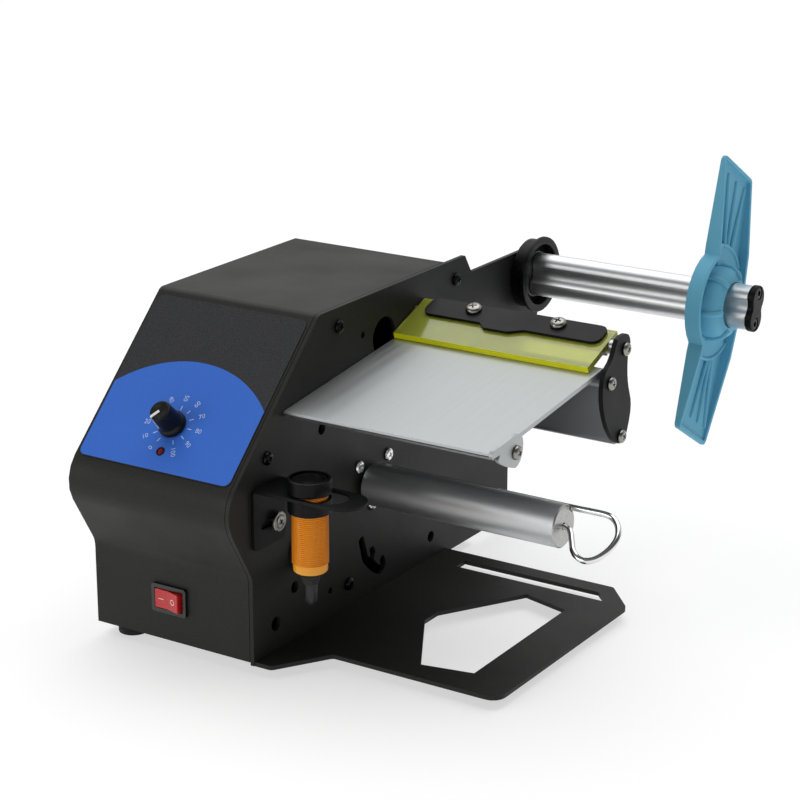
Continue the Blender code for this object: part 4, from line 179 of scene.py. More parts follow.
def smooth_curve(points: Sequence[Sequence[float]], steps: int) -> list[Vector]:
    """Curve that runs through given points.

    Args:
        points: The points in order.
        steps: Pieces of the curve between each two points.

    Returns:
        The finer points.
    """
    vectors = [Vector(point) for point in points]
    padded = [vectors[0] * 2 - vectors[1]] + vectors + [vectors[-1] * 2 - vectors[-2]]
    result = []
    for before, start, end, after in zip(padded, padded[1:], padded[2:], padded[3:]):
        leave, arrive = (end - before) / 2, (after - start) / 2
        for step in range(steps):
            t = step / steps
            placed = start * (2 * t**3 - 3 * t**2 + 1) + leave * (t**3 - 2 * t**2 + t)
            result.append(placed + end * (3 * t**2 - 2 * t**3) + arrive * (t**3 - t**2))
    return result + [vectors[-1]]


def dog_bone(radius: float, offset: float, fillet: float, steps: int) -> Loop:
    """Two round lobes joined by hollow flanks, one above the other.

    Args:
        radius: Radius of each lobe.
        offset: Distance of each lobe's centre from the middle.
        fillet: Radius of the hollow flanks.
        steps: Straight steps of each arc.

    Returns:
        The closed outline.
    """
    side = math.sqrt((radius + fillet) ** 2 - offset**2)
    tilt = math.atan2(offset, side)
    right = arc((side, 0.0), fillet, math.pi + tilt, math.pi - tilt, steps)
    top = arc((0.0, offset), radius, -tilt, math.pi + tilt, steps)
    left = arc((-side, 0.0), fillet, tilt, -tilt, steps)
    low = arc((0.0, -offset), radius, math.pi - tilt, 2 * math.pi + tilt, steps)
    return right[:-1] + top[:-1] + left[:-1] + low[:-1]


# Making and joining meshes


def settle(name: str, mesh: bpy.types.Mesh, place: Matrix, smooth: float = 32.0) -> bpy.types.Object:
    """Object of a mesh, put in its place with smooth faces and sharp folds.

    Args:
        name: Name of the piece.
        mesh: Its mesh in its own frame.
        place: Its frame in the world.
        smooth: Folds over this angle, in degrees, stay sharp.

    Returns:
        The linked object.
    """
    mesh.transform(place)
    mesh.name = name
    mesh.shade_smooth()
    mesh.set_sharp_from_angle(angle=math.radians(smooth))
    obj = bpy.data.objects.new(name, mesh)
    bpy.context.scene.collection.objects.link(obj)
    step = obj.modifiers.new("even", "WEIGHTED_NORMAL")
    step.keep_sharp = True
    bpy.context.view_layer.update()
    graph = bpy.context.evaluated_depsgraph_get()
    even = bpy.data.meshes.new_from_object(
        obj.evaluated_get(graph), preserve_all_data_layers=True, depsgraph=graph
    )
    obj.modifiers.clear()
    obj.data = even
    bpy.data.meshes.remove(mesh)
    even.name = name
    return obj


def from_bmesh(work: bmesh.types.BMesh) -> bpy.types.Mesh:
    """Mesh of a finished bmesh, with its faces turned outward."""
    bmesh.ops.recalc_face_normals(work, faces=work.faces)
    mesh = bpy.data.meshes.new("work")
    work.to_mesh(mesh)
    work.free()
    return mesh


def turned(profile: Sequence[Point2], steps: int = 64, ring: bool = False) -> bpy.types.Mesh:
    """Mesh turned about its own z axis.

    Args:
        profile: Points (radius, height) from one end of the axis to the other.
        steps: Faces round the axis.
        ring: Whether the profile is a closed loop clear of the axis.

    Returns:
        The closed mesh.
    """
    work = bmesh.new()
    columns = []
    for step in range(steps):
        angle = 2 * math.pi * step / steps
        column = []
        for radius, height in profile:
            if radius > 0.0 or step == 0:
                column.append(work.verts.new((radius * math.cos(angle), radius * math.sin(angle), height)))
            else:
                column.append(columns[0][len(column)])
        columns.append(column)
    rows = len(profile) if ring else len(profile) - 1
    for step in range(steps):
        here, ahead = columns[step], columns[(step + 1) % steps]
        for row in range(rows):
            beyond = (row + 1) % len(profile)
            corners = [here[row], ahead[row], ahead[beyond], here[beyond]]
            unique = list(dict.fromkeys(corners))
            if len(unique) > 2:
                work.faces.new(unique)
    return from_bmesh(work)


def slab(loops: Sequence[Loop], depth: float, edge: float = 0.0, steps: int = 2) -> bpy.types.Mesh:
    """Plate cut to an outline with holes, with its rims rounded over.

    Args:
        loops: Outer outline first, then the holes.
        depth: Thickness, from zero upward.
        edge: Radius of the rounded rims.
        steps: Straight steps across each rim.

    Returns:
        The closed mesh.
    """
    curve = bpy.data.curves.new("outline", "CURVE")
    curve.dimensions = "2D"
    curve.fill_mode = "BOTH"
    curve.extrude = depth / 2 - edge
    curve.bevel_depth = edge
    curve.bevel_resolution = steps - 1
    curve.offset = -edge
    for loop in loops:
        spline = curve.splines.new("POLY")
        spline.points.add(len(loop) - 1)
        for point, (x, y) in zip(spline.points, loop):
            point.co = (x, y, 0.0, 1.0)
        spline.use_cyclic_u = True
    holder = bpy.data.objects.new("outline", curve)
    mesh = bpy.data.meshes.new_from_object(holder)
    bpy.data.objects.remove(holder)
    bpy.data.curves.remove(curve)
    work = bmesh.new()
    work.from_mesh(mesh)
    bpy.data.meshes.remove(mesh)
    bmesh.ops.remove_doubles(work, verts=work.verts, dist=SEAM)
    bmesh.ops.translate(work, verts=work.verts, vec=(0.0, 0.0, depth / 2))
    return from_bmesh(work)


def brick(low: Point3, high: Point3, edge: float = 0.0) -> bpy.types.Mesh:
    """Block between two corners with its edges rounded over."""
    work = bmesh.new()
    size = Vector(high) - Vector(low)
    middle = (Vector(high) + Vector(low)) / 2
    place = Matrix.Translation(middle) @ Matrix.Diagonal((*size, 1.0))
    bmesh.ops.create_cube(work, size=1.0, matrix=place)
    if edge:
        bmesh.ops.bevel(work, geom=work.edges[:], offset=edge, segments=2, profile=0.5, affect="EDGES")
    return from_bmesh(work)


def tube(path: Sequence[Vector], radius: float, sides: int = 20, flat_ends: bool = False) -> bpy.types.Mesh:
    """Round bar along a path, with domed ends.

    Args:
        path: Points along its middle.
        radius: Radius of the bar.
        sides: Faces round it.
        flat_ends: Whether the ends are cut square instead of domed.

    Returns:
        The closed mesh.
    """
    work = bmesh.new()
    rings = []
    count = len(path)
    side = None
    for index, point in enumerate(path):
        ahead = (path[min(index + 1, count - 1)] - path[max(index - 1, 0)]).normalized()
        if side is None:
            side = ahead.orthogonal().normalized()
        side = (side - ahead * side.dot(ahead)).normalized()
        up = ahead.cross(side)
        stations = [(0.0, 1.0)]
        if not flat_ends and index == 0:
            stations = [(-out, share) for out, share in DOME_RINGS[::-1]] + stations
        if not flat_ends and index == count - 1:
            stations += DOME_RINGS
        for out, share in stations:
            middle = point + ahead * (out * radius)
            ring = []
            for step in range(sides):
                angle = 2 * math.pi * step / sides
                spoke = side * math.cos(angle) + up * math.sin(angle)
                ring.append(work.verts.new(middle + spoke * (radius * share)))
            rings.append(ring)
    for here, ahead in zip(rings, rings[1:]):
        for step in range(sides):
            beyond = (step + 1) % sides
            work.faces.new((here[step], here[beyond], ahead[beyond], ahead[step]))
    work.faces.new(rings[0][::-1])
    work.faces.new(rings[-1])
    return from_bmesh(work)


def merged(*meshes: bpy.types.Mesh) -> bpy.types.Mesh:
    """One mesh of several, which lie in the same frame."""
    work = bmesh.new()
    for mesh in meshes:
        work.from_mesh(mesh)
        bpy.data.meshes.remove(mesh)
    mesh = bpy.data.meshes.new("work")
    work.to_mesh(mesh)
    work.free()
    return mesh


def moved(mesh: bpy.types.Mesh, frame_in: Matrix) -> bpy.types.Mesh:
    """The same mesh, put into another frame."""
    mesh.transform(frame_in)
    return mesh


def carve(body: bpy.types.Mesh, *cutters: bpy.types.Mesh) -> bpy.types.Mesh:
    """Cut meshes out of a body.

    Args:
        body: The mesh that is kept.
        *cutters: Meshes in the same frame.

    Returns:
        The new mesh.
    """
    scene = bpy.context.scene
    holder = bpy.data.objects.new("carve_body", body)
    scene.collection.objects.link(holder)
    helpers = []
    for cutter in cutters:
        helper = bpy.data.objects.new("carve_cutter", cutter)
        scene.collection.objects.link(helper)
        helpers.append(helper)
        step = holder.modifiers.new("carve", "BOOLEAN")
        step.operation = "DIFFERENCE"
        step.solver = "EXACT"
        step.object = helper
    bpy.context.view_layer.update()
    graph = bpy.context.evaluated_depsgraph_get()
    mesh = bpy.data.meshes.new_from_object(holder.evaluated_get(graph))
    for obj in [holder] + helpers:
        data = obj.data
        bpy.data.objects.remove(obj)
        bpy.data.meshes.remove(data)
    return mesh


def recast(node: str, edge: float = 0.0, steps: int = 2) -> bpy.types.Mesh:
    """Mesh of a CAD node with its flat faces made whole and its edges rounded over.

    Args:
        node: Name of the CAD node.
        edge: Radius of its rounded edges.
        steps: Straight steps across each edge.

    Returns:
        The new mesh, in the world's frame.
    """
    work = bmesh.new()
    work.from_mesh(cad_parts[node].data)
    bmesh.ops.remove_doubles(work, verts=work.verts, dist=CAD_SEAM)
    bmesh.ops.dissolve_limit(work, angle_limit=FLAT_ANGLE, verts=work.verts, edges=work.edges)
    if edge:
        folds = [e for e in work.edges if len(e.link_faces) == 2 and e.calc_face_angle() > FOLD_ANGLE]
        bmesh.ops.bevel(
            work, geom=folds, offset=edge, segments=steps, profile=0.5, affect="EDGES", clamp_overlap=True
        )
    return from_bmesh(work)


def ride(obj: bpy.types.Object, body: Body, finish: "Finish", *nodes: str) -> bpy.types.Object:
    """Dress a piece, let it ride on its body and let it stand for CAD nodes.

    Args:
        obj: The piece in its place.
        body: The body that carries it.
        finish: Its finish.
        *nodes: CAD nodes that it stands for.

    Returns:
        The same object.
    """
    obj.data.materials.clear()
    obj.data.materials.append(finish.material())
    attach(obj, body.value)
    if nodes:
        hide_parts(*nodes)
    LOG.info("%s rides on %s", obj.name, body.value)
    return obj


def dress(name: str, node: str, body: Body, finish: "Finish", edge: float = 0.0, steps: int = 2,
          smooth: float = 32.0) -> bpy.types.Object:
    """Let a CAD node's own form with rounded edges stand for it.

    Args:
        name: Name of the piece.
        node: Name of the CAD node.
        body: The body that carries it.
        finish: Its finish.
        edge: Radius of its rounded edges.
        steps: Straight steps across each edge.
        smooth: Folds over this angle, in degrees, stay sharp.

    Returns:
        The piece.
    """
    return ride(settle(name, recast(node, edge, steps), Matrix.Identity(4), smooth), body, finish, node)


# Finishes


def shade(red: float, green: float, blue: float) -> tuple[float, float, float, float]:
    """Scene-linear colour of a display colour."""
    linear = [c / 12.92 if c <= 0.04045 else ((c + 0.055) / 1.055) ** 2.4 for c in (red, green, blue)]
    return (linear[0], linear[1], linear[2], 1.0)


def scaled(colour: Sequence[float], factor: float) -> tuple[float, ...]:
    """Darker or brighter tone of a colour."""
    return tuple(min(c * factor, 1.0) for c in colour[:3]) + (1.0,)


def feed(tree: bpy.types.NodeTree, socket: bpy.types.NodeSocket, value: object) -> None:
    """Link a source to a socket, or set a plain value on it."""
    if isinstance(value, bpy.types.NodeSocket):
        tree.links.new(value, socket)
    else:
        socket.default_value = value


def shader(tree: bpy.types.NodeTree, kind: str, output: str, inputs: dict[str | int, object],
           **options: str) -> bpy.types.NodeSocket:
    """Add one shader node.

    Args:
        tree: Node tree that gets it.
        kind: What it does, as in its type's name.
        output: Name of the wanted output.
        inputs: Plain value or source of each input, by name or number.
        **options: Its settings.

    Returns:
        The wanted output.
    """
    node = tree.nodes.new("ShaderNode" + kind)
    for name, value in options.items():
        setattr(node, name, value)
    for name, value in inputs.items():
        feed(tree, node.inputs[name], value)
    return node.outputs[output]


class Recipe:
    """Lays out and links the shader nodes of one material."""

    def __init__(self, name: str) -> None:
        """Start a material with one principled surface."""
        self.material = bpy.data.materials.new(name)
        self.material.use_nodes = True
        self.tree = self.material.node_tree
        self.surface = self.tree.nodes["Principled BSDF"]
        self.place = shader(self.tree, "TexCoord", "Object", {})

    def put(self, **values: object) -> None:
        """Set or link sockets of the surface, named with _ for each space."""
        for name, value in values.items():
            feed(self.tree, self.surface.inputs[name.replace("_", " ")], value)

    def noise(self, scale: float, detail: float = 2.0, stretch: Point3 = (1.0, 1.0, 1.0),
              rough: float = 0.5) -> bpy.types.NodeSocket:
        """Noise in the piece's own place.

        Args:
            scale: Repeats in a metre.
            detail: Finer octaves.
            stretch: Factors of the scale along x, y and z.
            rough: Weight of the finer octaves.

        Returns:
            The noise value.
        """
        source = self.place
        if stretch != (1.0, 1.0, 1.0):
            source = shader(self.tree, "Mapping", "Vector", {"Scale": stretch, "Vector": source})
        inputs = {"Scale": scale, "Detail": detail, "Roughness": rough, "Vector": source}
        return shader(self.tree, "TexNoise", "Fac", inputs)

    def spots(self, scale: float) -> bpy.types.NodeSocket:
        """Distance to the nearest of many scattered points."""
        return shader(self.tree, "TexVoronoi", "Distance", {"Scale": scale, "Vector": self.place})

    def spread(self, source: bpy.types.NodeSocket, low: float, high: float, start: float = 0.3,
               end: float = 0.7) -> bpy.types.NodeSocket:
        """Stretch a value from one range to another.

        Args:
            source: The value.
            low: Result at the start.
            high: Result at the end.
            start: First value of the range.
            end: Last value of the range.

        Returns:
            The stretched value.
        """
        inputs = {"Value": source, "From Min": start, "From Max": end, "To Min": low, "To Max": high}
        return shader(self.tree, "MapRange", "Result", inputs)

    def blend(self, share: bpy.types.NodeSocket, first: object, second: object) -> bpy.types.NodeSocket:
        """Colour between a first one and a second, each plain or from a node."""
        inputs = {"Factor": share, "A": first, "B": second}
        return shader(self.tree, "Mix", "Result", inputs, data_type="RGBA")

    def relief(self, *heights: tuple[bpy.types.NodeSocket, float, float]) -> None:
        """Bumps of the surface, one after another.

        Args:
            *heights: Height value, strength and depth in metres of each bump.
        """
        inputs: dict[str, object] = {}
        for height, strength, depth in heights:
            inputs |= {"Strength": strength, "Distance": depth, "Height": height}
            inputs["Normal"] = shader(self.tree, "Bump", "Normal", inputs)
        self.put(Normal=inputs["Normal"])


@dataclass(frozen=True)
class Finish:
    """A named finish with its base colour and its slot in the record."""

    name: str
    slot: str
    colour: Point3
    roughness: float = 0.5

    def material(self) -> bpy.types.Material:
        """Material of this finish, made once."""
        return bpy.data.materials.get(self.name) or self.mix(Recipe(self.name))

    def mix(self, recipe: Recipe) -> bpy.types.Material:
        """Lay out the nodes of a plain surface with a little variation.

        Args:
            recipe: The empty material.

        Returns:
            The finished material.
        """
        cloud = recipe.noise(60.0, 3.0)
        light = shade(*self.colour)
        deep = scaled(light, 0.82)
        recipe.put(Base_Color=recipe.blend(recipe.spread(cloud, 0.0, 1.0), light, deep))
        recipe.put(Roughness=recipe.spread(cloud, self.roughness * 0.85, self.roughness * 1.15))
        return recipe.material


@dataclass(frozen=True)
class Paper(Finish):
    """Seamless studio paper with a fine even tooth, lit from below as on a light table."""

    glow: float = 0.58

    def mix(self, recipe: Recipe) -> bpy.types.Material:
        """Lay out the nodes of the paper."""
        recipe.put(Base_Color=shade(*self.colour), Roughness=self.roughness, Specular_IOR_Level=0.0)
        recipe.put(Emission_Color=(1.0, 1.0, 1.0, 1.0), Emission_Strength=self.glow)
        recipe.relief((recipe.noise(900.0, 2.0), 0.02, 0.0001))
        return recipe.material


@dataclass(frozen=True)
class PowderCoat(Finish):
    """Fine textured powder coat: grains, pinholes and slightly rubbed places."""

    grain: float = 1500.0
    relief: float = 0.32
    fleck: float = 0.35
    gloss: float = 0.22

    def mix(self, recipe: Recipe) -> bpy.types.Material:
        """Lay out the nodes of the coat."""
        grain = recipe.noise(self.grain, 3.0, rough=0.6)
        cloud = recipe.noise(28.0, 4.0)
        fleck = recipe.spots(self.grain * 0.8)
        light = shade(*self.colour)
        deep = scaled(light, 1.0 - self.fleck)
        bright = scaled(light, 1.0 + 1.6 * self.fleck)
        base = recipe.blend(recipe.spread(grain, 0.0, 1.0, 0.35, 0.65), deep, light)
        flecked = recipe.blend(recipe.spread(fleck, 0.6, 0.0, 0.0, 0.22), base, bright)
        recipe.put(Base_Color=flecked)
        recipe.put(Specular_IOR_Level=self.gloss)
        recipe.put(Roughness=recipe.spread(cloud, self.roughness * 0.9, self.roughness * 1.12))
        recipe.relief((grain, self.relief, 0.00012), (fleck, self.relief * 0.4, 0.0001))
        return recipe.material


@dataclass(frozen=True)
class Moulded(Finish):
    """Moulded plastic or rubber: light mould grain, a soft sheen and a few scuffs."""

    grain: float = 2200.0
    relief: float = 0.10
    coat: float = 0.0
    wear: float = 0.12
    scatter: float = 0.0
    gloss: float = 0.5

    def mix(self, recipe: Recipe) -> bpy.types.Material:
        """Lay out the nodes of the plastic."""
        grain = recipe.noise(self.grain, 2.0)
        cloud = recipe.noise(45.0, 4.0, rough=0.6)
        scuff = recipe.noise(420.0, 2.0, (1.0, 0.12, 1.0))
        light = shade(*self.colour)
        deep = scaled(light, 1.0 - self.wear)
        worn = tuple(c + (0.5 - c) * 0.03 for c in light[:3]) + (1.0,)
        base = recipe.blend(recipe.spread(cloud, 0.0, 1.0), light, deep)
        recipe.put(Base_Color=recipe.blend(recipe.spread(scuff, 0.0, 1.0, 0.58, 0.8), base, worn))
        recipe.put(Roughness=recipe.spread(scuff, self.roughness * 0.9, min(self.roughness * 1.25, 1.0)))
        recipe.put(Specular_IOR_Level=self.gloss, Coat_Weight=self.coat, Coat_Roughness=0.12)
        if self.scatter:
            recipe.put(Subsurface_Weight=self.scatter, Subsurface_Scale=0.0012)
            recipe.put(Subsurface_Radius=(0.6, 0.9, 1.0))
        recipe.relief((grain, self.relief, 0.00005), (cloud, self.relief * 0.5, 0.0004))
        return recipe.material


@dataclass(frozen=True)
class Brushed(Finish):
    """Bare metal with fine lines left by a brush, a lathe or a die."""

    lines: Point3 = (0.01, 1.0, 1.0)
    scale: float = 5200.0
    relief: float = 0.06
    spread_of_gloss: float = 0.3
    smudge: float = 0.08

    def mix(self, recipe: Recipe) -> bpy.types.Material:
        """Lay out the nodes of the metal."""
        line = recipe.noise(self.scale, 3.0, self.lines, 0.7)
        broad = recipe.noise(self.scale / 9, 2.0, self.lines)
        cloud = recipe.noise(30.0, 4.0, rough=0.6)
        light = shade(*self.colour)
        deep = scaled(light, 1.0 - self.smudge * 2)
        base = recipe.blend(recipe.spread(line, 0.0, 0.7), light, deep)
        recipe.put(Base_Color=recipe.blend(recipe.spread(cloud, 0.0, 0.4), base, deep))
        low = self.roughness * (1.0 - self.spread_of_gloss)
        high = self.roughness * (1.0 + self.spread_of_gloss)
        recipe.put(Roughness=recipe.spread(broad, low, high))
        recipe.put(Metallic=1.0)
        recipe.relief((line, self.relief, 0.00002), (cloud, self.relief * 0.6, 0.0004))
        return recipe.material


@dataclass(frozen=True)
class Plated(Finish):
    """Bright plating with faint finger marks."""

    def mix(self, recipe: Recipe) -> bpy.types.Material:
        """Lay out the nodes of the plating."""
        mark = recipe.noise(240.0, 4.0, rough=0.65)
        ripple = recipe.noise(700.0, 2.0)
        light = shade(*self.colour)
        deep = scaled(light, 0.9)
        recipe.put(Base_Color=recipe.blend(recipe.spread(mark, 0.0, 1.0), light, deep))
        recipe.put(Roughness=recipe.spread(mark, self.roughness * 0.7, self.roughness * 1.8))
        recipe.put(Metallic=1.0)
        recipe.relief((ripple, 0.03, 0.0001))
        return recipe.material


@dataclass(frozen=True)
class ClearSheet(Finish):
    """Dyed clear plastic sheet; its glow setting adds emission, which paints light such as the bright glow
    of lit cut edges.
    """

    glow: float = 0.0
    clearness: float = 0.9

    def mix(self, recipe: Recipe) -> bpy.types.Material:
        """Lay out the nodes of the sheet."""
        haze = recipe.noise(90.0, 3.0)
        scratch = recipe.noise(900.0, 2.0, (0.05, 1.0, 1.0))
        light = shade(*self.colour)
        deep = scaled(light, 0.93)
        recipe.put(Base_Color=recipe.blend(recipe.spread(haze, 0.0, 1.0), light, deep))
        recipe.put(Roughness=recipe.spread(scratch, self.roughness, self.roughness * 2.2, 0.45, 0.8))
        recipe.put(Transmission_Weight=self.clearness, IOR=1.49)
        # Emission paints light onto the sheet: the painted glow of its lit cut edges
        if self.glow:
            recipe.put(Emission_Color=light, Emission_Strength=self.glow)
        recipe.relief((haze, 0.02, 0.0003))
        return recipe.material


@dataclass(frozen=True)
class CircuitBoard(Finish):
    """Solder mask over copper tracks."""

    def mix(self, recipe: Recipe) -> bpy.types.Material:
        """Lay out the nodes of the board."""
        track = recipe.noise(260.0, 0.0, (1.0, 0.25, 1.0))
        grain = recipe.noise(1800.0, 2.0)
        light = shade(*self.colour)
        copper = tuple(min(c * 1.9 + 0.01, 1.0) for c in light[:3]) + (1.0,)
        recipe.put(Base_Color=recipe.blend(recipe.spread(track, 0.0, 1.0, 0.52, 0.56), light, copper))
        recipe.put(Roughness=recipe.spread(grain, self.roughness * 0.9, self.roughness * 1.2))
        recipe.relief((track, 0.15, 0.00005))
        return recipe.material


POWDER = PowderCoat("powder_coat_black", "powder_coat", (0.150, 0.149, 0.143), 0.50)
POWDER_STRIP = PowderCoat("powder_coat_strip", "powder_coat", (0.085, 0.088, 0.093), 0.46, relief=0.2,
                          gloss=0.14)
PANEL_DARK = PowderCoat("panel_film_dark", "overlay", (0.215, 0.217, 0.226), 0.55, 1900.0, 0.30, 0.60)
PANEL_BLUE = PowderCoat("panel_film_blue", "overlay", (0.215, 0.430, 0.815), 0.50, 2200.0, 0.18, 0.12)
PANEL_INK = Moulded("panel_ink_white", "overlay", (0.80, 0.85, 0.95), 0.55)
KNOB_PLASTIC = Moulded("knob_black", "knob", (0.040, 0.041, 0.043), 0.34, relief=0.05, gloss=0.25)
KNOB_LINE = Moulded("knob_line_white", "knob", (0.93, 0.93, 0.92), 0.5)
BLACK_PLASTIC = Moulded("plastic_black", "black_plastic", (0.07, 0.07, 0.072), 0.36)
BLACK_GLOSS = Moulded("plastic_black_gloss", "black_plastic", (0.055, 0.055, 0.057), 0.24, coat=0.25)
COLLAR_BLACK = Moulded("plastic_black_collar", "black_plastic", (0.035, 0.037, 0.044), 0.36, gloss=0.14)
SCREW_BLACK = Plated("screw_black_oxide", "black_screw", (0.14, 0.14, 0.145), 0.22)
RUBBER = Moulded("rubber_black", "rubber", (0.085, 0.085, 0.085), 0.78, relief=0.25)
JACKET = Moulded("cable_jacket_black", "cable_jacket", (0.075, 0.075, 0.078), 0.5)
LAMP_GLASS = Moulded("lamp_red", "lamp", (0.50, 0.02, 0.05), 0.45, scatter=0.3, gloss=0.2)
ROCKER_RED = Moulded("rocker_red", "switch_red", (0.78, 0.045, 0.045), 0.26, coat=0.25, scatter=0.08)
ROCKER_INK = Moulded("rocker_ink_white", "switch_red", (0.97, 0.93, 0.92), 0.45)
BOARD_GREEN = CircuitBoard("board_green", "board", (0.08, 0.32, 0.16), 0.38)
STEEL = Brushed("steel_zinc", "steel", (0.72, 0.72, 0.71), 0.34)
CHROME = Plated("chrome", "chrome", (0.74, 0.73, 0.71), 0.07)
NICKEL = Plated("screw_nickel", "chrome", (0.60, 0.59, 0.57), 0.20)
ALUMINIUM = Brushed("aluminium_bright", "aluminium", (0.86, 0.865, 0.87), 0.40, scale=3800.0, relief=0.006,
                    spread_of_gloss=0.05, smudge=0.01)
GREY_ALUMINIUM = Brushed("aluminium_grey_satin", "grey_aluminium", (0.85, 0.855, 0.86), 0.46,
                         (1.0, 1.0, 1.0), 3200.0, 0.03, 0.06, 0.02)
GREY_PROFILE = Brushed("aluminium_grey_profile", "grey_aluminium", (0.52, 0.53, 0.54), 0.34, relief=0.01,
                       spread_of_gloss=0.08, smudge=0.02)
PLATE = Brushed("stainless_satin", "plate_silver", (0.70, 0.715, 0.715), 0.48, lines=(1.0, 0.02, 0.02),
                scale=3600.0, relief=0.015, spread_of_gloss=0.08, smudge=0.02)
BRASS = Plated("brass_sintered", "brass", (0.78, 0.62, 0.36), 0.28)
ACRYLIC = ClearSheet("acrylic_yellow_green", "acrylic", (0.75, 0.78, 0.30), 0.10, 0.0, 0.56)
# Cut edges of the window: a brighter copy of the acrylic whose emission paints the glow of light in its
# edges
ACRYLIC_LIT_EDGE = ClearSheet("acrylic_cut_edge_painted_glow", "acrylic", (0.88, 0.88, 0.05), 0.25, 0.18, 0.12)
# Cut ends of the window: a darker copy of the acrylic that paints the shade on its end faces
ACRYLIC_SHADED_END = ClearSheet("acrylic_cut_end_painted_shade", "acrylic", (0.62, 0.63, 0.10), 0.22, 0.0, 0.35)
ORANGE = Moulded("sensor_orange", "sensor_orange", (1.0, 0.66, 0.05), 0.36, coat=0.1, wear=0.02,
                 scatter=0.10)
ORANGE_TAIL = Moulded("sensor_orange_tail", "sensor_orange", (0.93, 0.63, 0.08), 0.32, coat=0.1, wear=0.02,
                      scatter=0.15)
BLUE = Moulded("retainer_blue", "retainer_blue", (0.35, 0.70, 0.86), 0.38, 900.0, 0.10, 0.10, 0.05, 0.08)
FLOOR = Paper("studio_paper", "", (0.72, 0.72, 0.72), 0.9)


# Fasteners

# Driver recesses, as shares of the head's radius
HEX_REACH = 0.52
CROSS_REACH = 0.56
CROSS_HALF = 0.13
CROSS_TAPER = 0.5

# Top and bottom of a recess, as shares of the head's height
RECESS_TOP = 1.15
RECESS_FLOOR = 0.38

# Heads from their rim to the middle, as shares of radius and height
ROUND_HEAD = ((0.0, 1.0), (0.3, 0.985), (0.58, 0.92), (0.78, 0.79), (0.91, 0.58), (0.98, 0.34), (1.0, 0.12))
SOCKET_HEAD = ((0.0, 1.0), (0.86, 1.0), (0.95, 0.96), (1.0, 0.85), (1.0, 0.1))


@dataclass(frozen=True)
class Screw:
    """A domed machine screw with a driver recess."""

    finish: Finish
    head: float = 0.0035
    rise: float = 0.0020
    stem: float = 0.0015
    recess: Recess = Recess.CROSS
    washer: float = 0.0
    washer_sheet: float = 0.0008
    steps: int = 48

    def recess_mesh(self) -> bpy.types.Mesh:
        """Cutter of the driver recess, at the top of the head."""
        if self.recess is Recess.HEX:
            loop = circle((0.0, 0.0), self.head * HEX_REACH, 6)
            taper = 1.0
        else:
            half, reach = self.head * CROSS_HALF, self.head * CROSS_REACH
            arm = [(half, half), (half, reach), (-half, reach), (-half, half)]
            loop = arm + [(-reach, half), (-reach, -half), (-half, -half), (-half, -reach)]
            loop += [(half, -reach), (half, -half), (reach, -half), (reach, half)]
            taper = CROSS_TAPER
        work = bmesh.new()
        upper = [work.verts.new((x, y, self.rise * RECESS_TOP)) for x, y in loop]
        lower = [work.verts.new((x * taper, y * taper, self.rise * RECESS_FLOOR)) for x, y in loop]
        work.faces.new(upper)
        work.faces.new(lower[::-1])
        for index in range(len(loop)):
            ahead = (index + 1) % len(loop)
            work.faces.new((upper[index], lower[index], lower[ahead], upper[ahead]))
        return from_bmesh(work)

    def mesh(self, length: float) -> bpy.types.Mesh:
        """Mesh of the screw, with its head's underside on the plane of its frame.

        Args:
            length: Length of the stem under the head.

        Returns:
            The closed mesh.
        """
        shares = SOCKET_HEAD if self.recess is Recess.HEX else ROUND_HEAD
        base = self.washer_sheet if self.washer else 0.0
        profile = [(self.head * out, base + (self.rise - base) * up) for out, up in shares]
        profile.append((self.head * 0.97, base))
        if self.washer:
            rim = self.washer_sheet * 0.25
            profile += [(self.washer - rim, base), (self.washer, base - rim), (self.washer, rim)]
            profile.append((self.washer - rim, 0.0))
        profile += [(self.stem, 0.0), (self.stem, -length * 0.94)]
        profile += [(self.stem * 0.7, -length), (0.0, -length)]
        return carve(turned(profile, self.steps), self.recess_mesh())

    def stand_for(self, node: str, place: Matrix, length: float, body: Body, turn: float = 0.0) -> None:
        """Put the screw where a CAD screw is.

        Args:
            node: The CAD screw.
            place: Frame of its head's underside, z outward.
            length: Length of its stem.
            body: The body that carries it.
            turn: Turn of its recess, in radians.
        """
        piece = settle(node + "_driven", self.mesh(length), place @ Matrix.Rotation(turn, 4, "Z"), 40.0)
        ride(piece, body, self.finish, node)

    def stand_on_side(self, node: str, body: Body, turn: float = 0.0, left: bool = False) -> None:
        """Put the screw where a CAD screw that points along the width is.

        Args:
            node: The CAD screw.
            body: The body that carries it.
            turn: Turn of its recess, in radians.
            left: Whether its head is on the left.
        """
        low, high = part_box(node)
        middle = (low + high) / 2 - DATUM
        seat = low.x + self.rise if left else high.x - self.rise
        place = along_x(seat - DATUM.x, middle.y, middle.z)
        if left:
            place = place @ Matrix.Rotation(math.pi, 4, "Y")
        self.stand_for(node, place, high.x - low.x - self.rise, body, turn)


# Sub-assemblies


